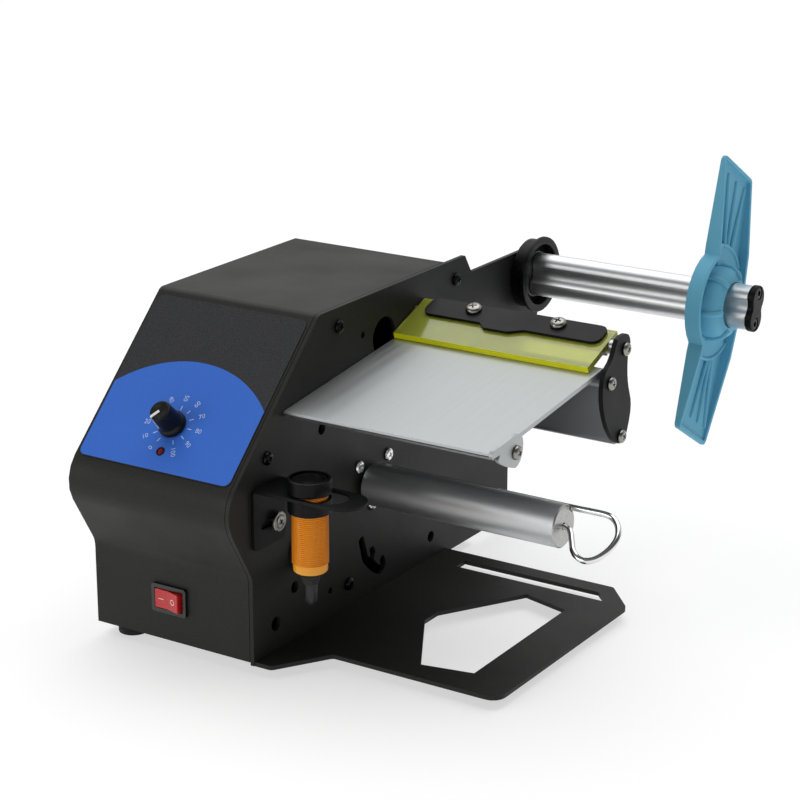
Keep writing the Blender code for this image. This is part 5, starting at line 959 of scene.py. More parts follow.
@dataclass
class Housing:
    """Sheet metal: the folded front cover, the side frame with its flange, the left panel and the floor."""

    rim: float = 0.00028
    frame_rim: float = 0.00040
    sheets: tuple[str, ...] = ("front_cover", "left_panel", "bottom_plate")
    cover_screws: tuple[float, ...] = (0.5, 1.1, 0.2, 0.8)
    left_screws: tuple[float, ...] = (0.3, 0.9)
    foot_count: int = 4
    foot_radius: float = 0.0077
    foot_height: float = 0.0050
    foot_taper: float = 0.0007
    foot_rim: float = 0.0006

    def build(self) -> None:
        """Make the sheets, their screws and the feet."""
        for node in self.sheets:
            dress(node + "_coated", node, Body.MACHINE, POWDER, self.rim)
        dress("side_frame_coated", "side_frame", Body.MACHINE, POWDER, self.frame_rim)
        screw = Screw(SCREW_BLACK)
        for index, turn in enumerate(self.cover_screws):
            screw.stand_on_side(f"cover_screw_{index + 1}", Body.MACHINE, turn)
        for index, turn in enumerate(self.left_screws):
            screw.stand_on_side(f"left_screw_{index + 1}", Body.MACHINE, turn, left=True)
        for index in range(self.foot_count):
            self.foot(f"foot_{index + 1}")

    def foot(self, node: str) -> None:
        """Make one rubber foot with a rounded tread and a dished middle.

        Args:
            node: The CAD foot.
        """
        low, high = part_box(node)
        radius, rim = self.foot_radius, self.foot_rim
        height = high.z - low.z
        narrow = radius - self.foot_taper
        profile = [
            (0.0, height), (narrow - rim, height), (narrow, height - rim),
            (radius, self.foot_height * 0.6), (radius, rim), (radius - rim * 0.3, rim * 0.3),
            (radius - rim, 0.0),
            (radius * 0.45, 0.0), (radius * 0.40, rim), (0.0, rim),
        ]
        middle = (low + high) / 2
        place = Matrix.Translation(Vector((middle.x, middle.y, low.z)))
        ride(settle(node + "_rubber", turned(profile), place), Body.MACHINE, RUBBER, node)


@dataclass
class ControlPanel:
    """Printed film on the slope with its dial, and the lamp with its ring."""

    nose_reach: float = 0.0209
    nose_height: float = 0.0824
    slope: float = math.atan2(0.0787, 0.0814)
    skin_gap: float = 0.0001
    film: float = 0.0004
    left: float = 0.0015
    start: float = 0.0149
    width: float = 0.0919
    length: float = 0.09412
    # Width of dark film left bare round the blue field; along the film's right and bottom rims this dark
    # margin is painted shade at the film's edge
    corner: float = 0.0040
    outline: float = 0.00035
    knob_x: float = 0.0474
    knob_place: float = 0.0402
    lamp_place: float = 0.0255
    hub_hole: float = 0.0039
    lamp_hole: float = 0.0023
    arch_place: float = 0.0108
    arch_radius: float = 0.0650
    scale_first: float = math.radians(245.0)
    scale_step: float = math.radians(-30.8)
    tick_start: float = 0.0086
    tick_end: float = 0.0110
    tick_width: float = 0.00036
    number_radius: float = 0.0154
    number_size: float = 0.0036
    number_thinned: float = 0.012
    numbers: tuple[int, ...] = tuple(range(0, 101, 10))
    film_rim: float = 0.00005
    film_levels: tuple[float, ...] = (0.82, 0.92)
    lamp_radius: float = 0.0017
    lamp_collar: float = 0.0028
    lamp_collar_top: float = -0.0015
    lamp_length: float = 0.0060
    lamp_shares: tuple[Point2, ...] = (
        (0.0, 0.46), (0.3, 0.44), (0.55, 0.39), (0.76, 0.31), (0.90, 0.20), (0.97, 0.09), (1.0, 0.0),
    )
    ring_inner: float = 0.00175
    ring_outer: float = 0.0024
    ring_rim: float = 0.0002

    def place(self) -> Matrix:
        """Frame of the slope: x to the right, y up the slope, z outward."""
        return at(0.0, -self.nose_reach, self.nose_height) @ Matrix.Rotation(self.slope, 4, "X")

    def holes(self) -> list[Loop]:
        """Holes of the film for the knob and the lamp."""
        return [
            circle((self.knob_x, self.knob_place), self.hub_hole),
            circle((self.knob_x, self.lamp_place), self.lamp_hole),
        ]

    def build(self) -> None:
        """Make the film, its print and the lamp."""
        slope = self.place()
        levels = [self.skin_gap + self.film * share for share in self.film_levels]
        outer = rectangle(self.left, self.start, self.width, self.length, self.corner)
        base = slab([outer] + self.holes(), levels[0] - self.skin_gap, self.film_rim, 1)
        base = moved(base, Matrix.Translation((0.0, 0.0, self.skin_gap)))
        ride(settle("panel_film", base, slope), Body.MACHINE, PANEL_DARK, "panel_overlay")
        # The dark margin left round the blue field paints the shade line along the film's right and bottom
        # rims
        edge = self.outline
        blue = slab([self.blue_field(edge)] + self.holes(), levels[1] - levels[0])
        blue = moved(blue, Matrix.Translation((0.0, 0.0, levels[0])))
        ride(settle("panel_blue_field", blue, slope), Body.MACHINE, PANEL_BLUE)
        self.dial(slope, levels[1])
        self.lamp(slope)

    def blue_field(self, edge: float) -> Loop:
        """Outline of the blue field: the film's lower corners under a broad arch.

        Args:
            edge: Distance kept from the film's rim.

        Returns:
            The closed outline.
        """
        left, right = self.left + edge, self.left + self.width - edge
        low = self.start + edge
        radius = self.corner - edge
        points = arc((left + radius, low + radius), radius, math.pi, 1.5 * math.pi, CORNER_STEPS)
        points += arc((right - radius, low + radius), radius, 1.5 * math.pi, 2 * math.pi, CORNER_STEPS)
        middle = (self.knob_x, self.arch_place)
        first = math.acos((right - self.knob_x) / self.arch_radius)
        last = math.acos((left - self.knob_x) / self.arch_radius)
        return points + arc(middle, self.arch_radius, first, last, 48)

    def dial(self, slope: Matrix, level: float) -> None:
        """Make the ticks and the numbers from 0 to 100 round the knob.

        Args:
            slope: Frame of the slope.
            level: Height of the print's surface.
        """
        centre = Vector((self.knob_x, self.knob_place, 0.0))
        ticks, numbers = [], []
        half = self.tick_width / 2
        for index, number in enumerate(self.numbers):
            angle = self.scale_first + self.scale_step * index
            bar = brick((self.tick_start, -half, level), (self.tick_end, half, level + INK))
            ticks.append(moved(bar, Matrix.Translation(centre) @ Matrix.Rotation(angle, 4, "Z")))
            spot = centre + Vector((math.cos(angle), math.sin(angle), 0.0)) * self.number_radius
            upright = angle + math.pi if math.cos(angle) < 0.0 else angle
            lie = Matrix.Translation(spot) @ Matrix.Rotation(upright, 4, "Z")
            numbers.append(moved(self.number(str(number), level), lie))
        ride(settle("dial_ticks", merged(*ticks), slope), Body.MACHINE, PANEL_INK)
        ride(settle("dial_numbers", merged(*numbers), slope), Body.MACHINE, PANEL_INK)

    def number(self, text: str, level: float) -> bpy.types.Mesh:
        """Mesh of one number of the dial, about its own middle.

        Args:
            text: Its digits.
            level: Height of the print's surface.

        Returns:
            The mesh, read along x.
        """
        curve = bpy.data.curves.new("number", "FONT")
        curve.body = text
        curve.size = self.number_size
        curve.align_x = "CENTER"
        curve.align_y = "CENTER"
        curve.resolution_u = 3
        curve.extrude = INK / 2
        curve.offset = -self.number_size * self.number_thinned
        holder = bpy.data.objects.new("number", curve)
        mesh = bpy.data.meshes.new_from_object(holder)
        bpy.data.objects.remove(holder)
        bpy.data.curves.remove(curve)
        mesh.materials.clear()
        return moved(mesh, Matrix.Translation((0.0, 0.0, level + INK / 2)))

    def lamp(self, slope: Matrix) -> None:
        """Make the lamp's lens and the black ring round it.

        Args:
            slope: Frame of the slope.
        """
        radius, collar = self.lamp_radius, self.lamp_collar
        profile = [(radius * out, radius * up) for out, up in self.lamp_shares]
        profile += [(radius, self.lamp_collar_top), (collar, self.lamp_collar_top)]
        profile += [(collar, -self.lamp_length), (0.0, -self.lamp_length)]
        place = slope @ Matrix.Translation((self.knob_x, self.lamp_place, self.skin_gap))
        ride(settle("lamp_lens", turned(profile, 32), place), Body.MACHINE, LAMP_GLASS, "indicator_lamp")
        low, top = self.film, self.film * 1.5
        inner, outer, rim = self.ring_inner, self.ring_outer, self.ring_rim
        ring = [(inner, low), (inner, top * 0.9), (inner + rim, top), (outer - rim, top * 0.9), (outer, low)]
        ride(settle("lamp_ring", turned(ring, 40, ring=True), place), Body.MACHINE, COLLAR_BLACK)


@dataclass
class SpeedKnob:
    """Turning knob with its skirt, its faint flutes and its white line, and the control behind it."""

    panel: ControlPanel
    low: float = 0.0008
    skirt: float = 0.0072
    skirt_rise: float = 0.0033
    cap_base: float = 0.0060
    cap_top: float = 0.0055
    top: float = 0.0150
    rim: float = 0.0006
    flutes: int = 18
    flute_depth: float = 0.00003
    bore: float = 0.0031
    inner: float = 0.0060
    ceiling: float = 0.0039
    shaft_top: float = 0.0119
    rest: float = math.radians(233.0)
    line_width: float = 0.0014
    line_start: float = 0.0003
    line_rise: float = 0.00030
    line_depth: float = 0.0005
    top_dish: float = 0.0001
    cap_foot: tuple[Point2, ...] = ((0.0, 0.0010), (0.0002, 0.0004), (0.0006, -0.0001))
    skirt_rim: tuple[Point2, ...] = ((-0.0003, -0.0006), (-0.0001, -0.0011), (0.0, -0.0017))

    def build(self) -> None:
        """Make the knob, its line, the potentiometer and its shaft."""
        place = self.panel.place() @ Matrix.Translation((self.panel.knob_x, self.panel.knob_place, 0.0))
        turn = place @ Matrix.Rotation(self.rest, 4, "Z")
        ride(settle("knob_cap", self.cap(), turn, 28.0), Body.KNOB, KNOB_PLASTIC, "speed_knob")
        ride(settle("knob_line", self.line(), turn), Body.KNOB, KNOB_LINE)
        dress("potentiometer_metal", "potentiometer", Body.MACHINE, STEEL)
        dress("potentiometer_shaft_metal", "potentiometer_shaft", Body.KNOB, STEEL)

    def cap(self) -> bpy.types.Mesh:
        """Mesh of the knob, hollow underneath."""
        shoulder = self.low + self.skirt_rise
        dish = self.top - self.top_dish
        wide, rim = self.cap_top, self.rim
        profile = [
            (0.0, dish), (wide * 0.75, dish), (wide - rim, self.top),
            (wide - rim * 0.3, self.top - rim * 0.25), (wide, self.top - rim),
        ]
        profile += [(self.cap_base + out, shoulder + up) for out, up in self.cap_foot]
        profile += [(self.skirt + out, shoulder + up) for out, up in self.skirt_rim]
        profile += [
            (self.skirt, self.low + 0.0003), (self.skirt - 0.0002, self.low), (self.inner, self.low),
            (self.inner, self.ceiling), (self.bore, self.ceiling), (self.bore, self.shaft_top),
            (0.0, self.shaft_top),
        ]
        mesh = turned(profile, self.flutes * 8)
        for vertex in mesh.vertices:
            radius = math.hypot(vertex.co.x, vertex.co.y)
            if radius > wide * 0.97 and shoulder + 0.0005 < vertex.co.z < self.top - rim * 0.5:
                angle = math.atan2(vertex.co.y, vertex.co.x)
                hollow = self.flute_depth * max(0.0, math.cos(angle * self.flutes)) ** 0.5
                vertex.co.x *= 1.0 - hollow / radius
                vertex.co.y *= 1.0 - hollow / radius
        return mesh

    def line(self) -> bpy.types.Mesh:
        """Mesh of the white line over the top and down the side."""
        rise, deep = self.line_rise, self.line_depth
        shoulder = self.low + self.skirt_rise + 0.0012
        outer = [
            (self.line_start, self.top + rise * 0.3), (self.cap_top - self.rim, self.top + rise * 0.5),
            (self.cap_top + rise * 0.3, self.top - self.rim * 0.3), (self.cap_base + rise, shoulder),
        ]
        inner = [
            (self.cap_base - deep, shoulder), (self.cap_top - deep, self.top - self.rim - deep),
            (self.line_start, self.top - deep),
        ]
        strip = slab([outer + inner], self.line_width)
        strip = moved(strip, Matrix.Translation((0.0, 0.0, -self.line_width / 2)))
        return moved(strip, Matrix.Rotation(math.pi / 2, 4, "X"))


@dataclass
class PowerSwitch:
    """Rocker switch with its bezel and its two marks, and the power inlet on the back wall."""

    x: float = 0.0470
    z: float = 0.02165
    pivot: float = 0.0021
    tilt: float = math.radians(8.0)
    half_width: float = 0.0078
    crest: float = 0.0036
    mark: float = 0.0015
    stroke: float = 0.00036
    rim: float = 0.00045

    def build(self) -> None:
        """Make the bezel, the rocker, its marks and the inlet."""
        dress("switch_bezel", "switch_body", Body.MACHINE, BLACK_GLOSS, self.rim, 3)
        dress("switch_paddle", "switch_rocker", Body.ROCKER, ROCKER_RED, self.rim, 4, 60.0)
        frame_in = (
            at(self.x, self.pivot, self.z) @ Matrix.Rotation(-self.tilt, 4, "Z")
            @ Matrix.Rotation(math.pi / 2, 4, "X")
        )
        middle = self.half_width / 2
        height = self.crest - middle * math.tan(self.tilt)
        lie = [
            Matrix.Translation((side * middle, 0.0, height)) @ Matrix.Rotation(-side * self.tilt, 4, "Y")
            for side in (-1, 1)
        ]
        half = self.stroke / 2
        top = INK * 2
        dash = brick((-self.mark, -half, 0.0), (self.mark, half, top))
        inner = self.mark - self.stroke
        ring = [(inner, 0.0), (self.mark, 0.0), (self.mark, top), (inner, top)]
        marks = merged(moved(dash, lie[0]), moved(turned(ring, 40, ring=True), lie[1]))
        ride(settle("switch_marks", marks, frame_in), Body.ROCKER, ROCKER_INK)
        dress("power_inlet_barrel", "power_inlet", Body.MACHINE, BLACK_PLASTIC, 0.0002)


@dataclass
class Drive:
    """Gearbox, motor, their screws and the control board inside the housing."""

    rim: float = 0.0005
    screw_turns: tuple[float, ...] = (0.4, 1.2, 0.1)
    board_left: float = 0.0140
    board_front: float = 0.0400
    board_width: float = 0.0684
    board_length: float = 0.0500
    board_top: float = 0.0069
    chip_rim: float = 0.0003
    chips: tuple[tuple[float, ...], ...] = (
        (0.10, 0.62, 0.20, 0.24, 0.0030), (0.40, 0.18, 0.14, 0.34, 0.0016),
        (0.62, 0.66, 0.12, 0.20, 0.0012), (0.40, 0.72, 0.10, 0.10, 0.0045),
        (0.13, 0.16, 0.14, 0.26, 0.0090),
    )

    def build(self) -> None:
        """Make the drive and the board, with its parts placed by shares of its width and length."""
        for node in ("gearbox", "drive_motor"):
            dress(node + "_case", node, Body.MACHINE, STEEL, self.rim)
        screw = Screw(CHROME, rise=0.0016)
        for index, turn in enumerate(self.screw_turns):
            screw.stand_on_side(f"motor_screw_{index + 1}", Body.MACHINE, turn)
        dress("control_board_mask", "control_board", Body.MACHINE, BOARD_GREEN, 0.0001)
        width, length, top = self.board_width, self.board_length, self.board_top
        parts = []
        for across, along, wide, deep, high in self.chips:
            low = (self.board_left + width * across, self.board_front + length * along, top)
            far = (low[0] + width * wide, low[1] + length * deep, top + high)
            parts.append(brick(low, far, self.chip_rim))
        ride(settle("control_board_parts", merged(*parts), at(0.0, 0.0, 0.0)), Body.MACHINE, BLACK_PLASTIC)


@dataclass
class TakeUp:
    """Take-up roller with its groove, its shaft and the sprung wire clip."""

    y: float = 0.1033
    z: float = 0.0614
    start: float = WIDTH + 0.0020
    length: float = 0.1118
    radius: float = 0.0110
    chamfer: float = 0.0006
    shaft_bore: float = 0.0033
    shaft_reach: float = WIDTH + 0.0233
    wire: float = 0.0016
    angle: float = math.radians(44.0)
    offset: float = 0.0107
    inner_leg: float = 0.0560
    tail: float = 0.0015
    loop_length: float = 0.02935
    loop_width: float = 0.0258
    steps: int = 9
    loop_shares: tuple[Point2, ...] = (
        (0.34, 0.004), (0.65, 0.000), (0.82, -0.060), (0.94, -0.200), (1.00, -0.390), (0.98, -0.580),
        (0.90, -0.770), (0.77, -0.930), (0.62, -1.000), (0.47, -0.975), (0.34, -0.860), (0.25, -0.680),
        (0.17, -0.520), (0.08, -0.435),
    )

    def build(self) -> None:
        """Make the shaft, the roller and the clip."""
        dress("output_shaft_ground", "output_shaft", Body.TAKEUP, STEEL, 0.0003)
        place = along_x(self.start, self.y, self.z)
        roller = settle("takeup_roller_turned", self.roller(), place, 30.0)
        ride(roller, Body.TAKEUP, GREY_ALUMINIUM, "takeup_roller")
        roller.data.materials.append(STEEL.material())
        faced = self.chamfer * 1.1
        for face in roller.data.polygons:
            middle = face.center.x - DATUM.x - self.start
            if not faced <= middle <= self.length - faced:
                face.material_index = 1
        place = place @ Matrix.Rotation(self.angle, 4, "Z")
        clip = settle("takeup_clip_wire", tube(self.path(), self.wire, 24), place)
        ride(clip, Body.CLIP, CHROME, "takeup_clip")

    def roller(self) -> bpy.types.Mesh:
        """Mesh of the roller with its clip groove and its bores."""
        edge, end = self.radius - self.chamfer, self.length
        profile = [
            (0.0, end), (edge, end), (self.radius - 0.0001, end - self.chamfer * 0.8),
            (self.radius, end - self.chamfer), (self.radius, self.chamfer), (edge, 0.0), (0.0, 0.0),
        ]
        room = self.wire + GAP
        floor = -self.inner_leg - GAP
        bore = turned([(0.0, OVER), (room, OVER), (room, floor), (0.0, floor)], 32)
        bore = moved(bore, Matrix.Translation((0.0, 0.0, end)))
        deep = self.shaft_reach - self.start
        shaft = turned([(0.0, deep), (self.shaft_bore, deep), (self.shaft_bore, -OVER), (0.0, -OVER)], 32)
        groove = brick((self.offset - room, -room, -OVER), (self.radius + OVER, room, end + OVER))
        groove = moved(groove, Matrix.Rotation(self.angle, 4, "Z"))
        return carve(turned(profile, 96), bore, shaft, groove)

    def path(self) -> list[Vector]:
        """Path of the clip's wire in the plane of the groove."""
        end = self.length
        points = [(self.offset, self.tail), (self.offset, (self.tail + end) / 2), (self.offset, end)]
        for along, out in self.loop_shares:
            points.append((self.offset + out * self.loop_width, end + along * self.loop_length))
        points += [(0.0, end - back) for back in (2 * self.wire, self.inner_leg / 2, self.inner_leg)]
        return smooth_curve([(out, 0.0, along) for out, along in points], self.steps)


@dataclass
class LabelTable:
    """Peel plate with its rod and ear screw, the guide profile and the end bracket."""

    rim: float = 0.00025
    bracket_rim: float = 0.0004
    front: Point2 = (0.0290, 0.1209)
    rise: float = math.radians(7.05)
    fold_top: float = 0.0012
    fold_gap: float = 0.0005
    fold_depth: float = 0.0060
    fold_end: float = WIDTH + 0.1146
    ear_screw_turn: float = 0.35
    bracket_screws: tuple[tuple[str, float], ...] = (("top", 0.5), ("middle", 0.0), ("bottom", 0.9))

    def build(self) -> None:
        """Make the plate, the rods and the bracket with its screws."""
        slope = at(0.0, *self.front) @ Matrix.Rotation(self.rise, 4, "X")
        low = (WIDTH - GAP, -self.fold_depth, -self.fold_top - self.fold_gap)
        high = (self.fold_end, self.fold_depth, -self.fold_top)
        folded = carve(recast("peel_plate", self.rim), moved(brick(low, high), slope))
        plate = settle("peel_plate_brushed", folded, Matrix.Identity(4))
        ride(plate, Body.MACHINE, PLATE, "peel_plate")
        dress("front_tie_rod_turned", "front_tie_rod", Body.MACHINE, STEEL, 0.0003)
        screw = Screw(NICKEL)
        screw.stand_on_side("ear_screw", Body.MACHINE, self.ear_screw_turn)
        dress("guide_profile_drawn", "guide_profile", Body.MACHINE, GREY_PROFILE, 0.0002)
        dress("end_bracket_coated", "end_bracket", Body.MACHINE, POWDER_STRIP, self.bracket_rim, 3)
        for node, turn in self.bracket_screws:
            screw.stand_on_side(f"bracket_screw_{node}", Body.MACHINE, turn)


@dataclass
class Press:
    """Lifting press: rod with its flat bar, the clear window, the black strip and its two screws."""

    y: float = 0.14904
    z: float = 0.14116
    slope: float = math.radians(20.5)
    seat: float = 0.0003
    sheet: float = 0.0032
    strip_sheet: float = 0.0015
    bar_sheet: float = 0.0040
    screw_place: float = 0.0034
    screws: tuple[Point2, ...] = ((WIDTH + 0.03352, 0.5), (WIDTH + 0.08268, 1.4))

    def build(self) -> None:
        """Make the rod, the window, the strip and the screws."""
        dress("press_rod_turned", "press_rod", Body.PRESS, STEEL, 0.0003)
        tilt = at(0.0, self.y, self.z) @ Matrix.Rotation(self.slope, 4, "X")
        window = dress("press_window_sheet", "press_window", Body.PRESS, ACRYLIC, 0.00012, 1)
        window.data.materials.append(ACRYLIC_LIT_EDGE.material())
        window.data.materials.append(ACRYLIC_SHADED_END.material())
        # Faces are chosen by direction: the side faces get the glowing copy as painted light, and the end
        # faces along the width get the darker copy as painted shade
        up = tilt.to_3x3() @ Vector((0.0, 0.0, 1.0))
        for face in window.data.polygons:
            if abs(face.normal.dot(up)) < 0.9:
                face.material_index = 2 if abs(face.normal.x) > 0.9 else 1
        dress("press_strip_coated", "press_strip", Body.PRESS, POWDER_STRIP, 0.0003)
        screw = Screw(NICKEL, head=0.0043, rise=0.0026)
        top = self.seat + self.sheet + self.strip_sheet + 2 * GAP
        length = self.sheet + self.strip_sheet + self.bar_sheet
        for index, (x, turn) in enumerate(self.screws):
            place = tilt @ Matrix.Translation((x, self.screw_place, top))
            screw.stand_for(f"strip_screw_{index + 1}", place, length, Body.PRESS, turn)


@dataclass
class Sensor:
    """Round label sensor with its thread and nuts, on its slotted bracket, and its lead."""

    x: float = WIDTH + 0.0252
    y: float = 0.0145
    radius: float = 0.0090
    top: float = 0.0957
    thread_end: float = 0.0541
    bottom: float = 0.0493
    tail_step: float = 0.0006
    head: float = 0.0050
    pitch: float = 0.0010
    thread_depth: float = 0.00060
    thread_play: float = 0.00005
    thread_steepness: float = 3.4
    thread_fullness: float = 1.45
    thread_fade: int = 3
    thread_sides: int = 64
    rows_per_turn: int = 6
    lens: float = 0.0070
    lens_depth: float = 0.0010
    nut_radius: float = 0.0107
    nut_height: float = 0.0075
    nut_upper: float = 0.0890
    nut_lower: float = 0.0794
    nut_chamfer: float = 0.0008
    head_rim: float = 0.0004
    tail_edge: float = 0.0012
    cable: float = 0.0029
    collar: tuple[Point2, ...] = (
        (0.0031, 0.0), (0.0054, 0.0), (0.0054, -0.0018), (0.0048, -0.0024), (0.0038, -0.0062),
        (0.0033, -0.0066), (0.0031, -0.0066),
    )
    grommet: Point3 = (WIDTH, 0.0428, 0.0450)
    board_end: Point3 = (0.0824, 0.0400, 0.0069)
    from_sensor: tuple[Point3, ...] = (
        (0.0, 0.0, -0.0003), (0.0, 0.0, -0.0090), (-0.0020, 0.0025, -0.0155), (-0.0062, 0.0090, -0.0186),
    )
    from_grommet: tuple[Point3, ...] = (
        (0.0125, -0.0093, -0.0105), (0.0060, -0.0028, -0.0045), (-0.0010, 0.0, 0.0),
        (-0.0085, 0.0022, 0.0005), (-0.0160, 0.0062, -0.0040),
    )
    from_board: tuple[Point3, ...] = (
        (-0.0055, 0.0130, 0.0251), (-0.0065, 0.0150, 0.0131), (-0.0065, 0.0150, 0.0008),
    )

    def build(self) -> None:
        """Make the bracket, the barrel, the nuts, the lead and the grommet."""
        dress("sensor_bracket_coated", "sensor_bracket", Body.CARRIAGE, POWDER_STRIP, 0.0003)
        washered = Screw(NICKEL, washer=0.0051, washer_sheet=0.0014)
        washered.stand_on_side("bracket_clamp_screw", Body.MACHINE, 0.5)
        axis = at(self.x, self.y, 0.0)
        ride(settle("sensor_thread", self.thread(), axis, 50.0), Body.SENSOR, ORANGE, "sensor_barrel")
        ride(settle("sensor_head", self.head_mesh(), axis), Body.SENSOR, COLLAR_BLACK)
        ride(settle("sensor_tail", self.tail(), axis), Body.SENSOR, ORANGE_TAIL)
        for node, low in (("sensor_nut_upper", self.nut_upper), ("sensor_nut_lower", self.nut_lower)):
            place = at(self.x, self.y, low)
            ride(settle(node + "_moulded", self.nut(), place), Body.SENSOR, COLLAR_BLACK, node)
        self.lead()

    def thread(self) -> bpy.types.Mesh:
        """Mesh of the threaded barrel."""
        low, high = self.thread_end, self.top - self.head
        sides = self.thread_sides
        rows = round((high - low) / self.pitch * self.rows_per_turn)
        work = bmesh.new()
        rings = []
        for row in range(rows + 1):
            height = low + (high - low) * row / rows
            fade = min(1.0, row / self.thread_fade, (rows - row) / self.thread_fade)
            ring = []
            for side in range(sides):
                phase = (row / self.rows_per_turn - side / sides) % 1.0
                flank = self.thread_fullness - abs(phase - 0.5) * self.thread_steepness
                depth = self.thread_depth * min(1.0, max(0.0, flank)) * fade
                radius = self.radius - self.thread_play - depth
                angle = 2 * math.pi * side / sides
                ring.append(work.verts.new((radius * math.cos(angle), radius * math.sin(angle), height)))
            rings.append(ring)
        for here, ahead in zip(rings, rings[1:]):
            for side in range(sides):
                beyond = (side + 1) % sides
                work.faces.new((here[side], here[beyond], ahead[beyond], ahead[side]))
        work.faces.new(rings[0][::-1])
        work.faces.new(rings[-1])
        return from_bmesh(work)

    def head_mesh(self) -> bpy.types.Mesh:
        """Mesh of the black sensing head with its recessed lens."""
        rim = self.head_rim
        radius = self.radius - 0.0001
        floor = self.top - self.lens_depth
        profile = [
            (0.0, floor + 0.0004), (self.lens * 0.45, floor + 0.0003), (self.lens * 0.50, floor),
            (self.lens - rim, floor), (self.lens, self.top - rim), (self.lens + rim, self.top),
            (radius - rim, self.top), (radius, self.top - rim), (radius, self.top - self.head),
            (0.0, self.top - self.head),
        ]
        return turned(profile)

    def tail(self) -> bpy.types.Mesh:
        """Mesh of the smooth end below the thread, with the lead's collar."""
        radius = self.radius - self.tail_step
        edge = self.tail_edge
        profile = [(0.0, self.thread_end), (radius, self.thread_end)]
        profile += arc((radius - edge, self.bottom + edge), edge, 0.0, -math.pi / 2, CORNER_STEPS)
        return turned(profile + [(0.0, self.bottom)])

    def nut(self) -> bpy.types.Mesh:
        """Mesh of a round clamp nut."""
        bore = self.radius + GAP
        cut = self.nut_chamfer
        edge = self.nut_radius - cut
        high = self.nut_height
        profile = [
            (bore, high), (edge, high), (edge + cut * 0.7, high - cut * 0.3), (self.nut_radius, high - cut),
            (self.nut_radius, cut), (edge + cut * 0.7, cut * 0.3), (edge, 0.0), (bore, 0.0),
        ]
        return turned(profile, ring=True)

    def route(self) -> list[Vector]:
        """Path of the lead from the barrel through the grommet to the board, from the datum."""
        starts = ((self.x, self.y, self.bottom), self.grommet, self.board_end)
        points = []
        for steps, start in zip((self.from_sensor, self.from_grommet, self.from_board), starts):
            points += [tuple(along + begin for along, begin in zip(step, start)) for step in steps]
        return smooth_curve(points, 8)

    def lead(self) -> None:
        """Make the lead, its collar under the barrel and the grommet."""
        jacket = tube(self.route(), self.cable, 24, flat_ends=True)
        lead = settle("sensor_lead", jacket, at(0.0, 0.0, 0.0))
        lead.data.materials.append(JACKET.material())
        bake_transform(lead)
        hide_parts("sensor_cable")
        collar = turned(self.collar, 40, ring=True)
        piece = settle("sensor_lead_collar", collar, at(self.x, self.y, self.bottom - 0.0001))
        ride(piece, Body.SENSOR, RUBBER)
        dress("cable_grommet_rubber", "cable_grommet", Body.MACHINE, RUBBER, 0.0004, 3)


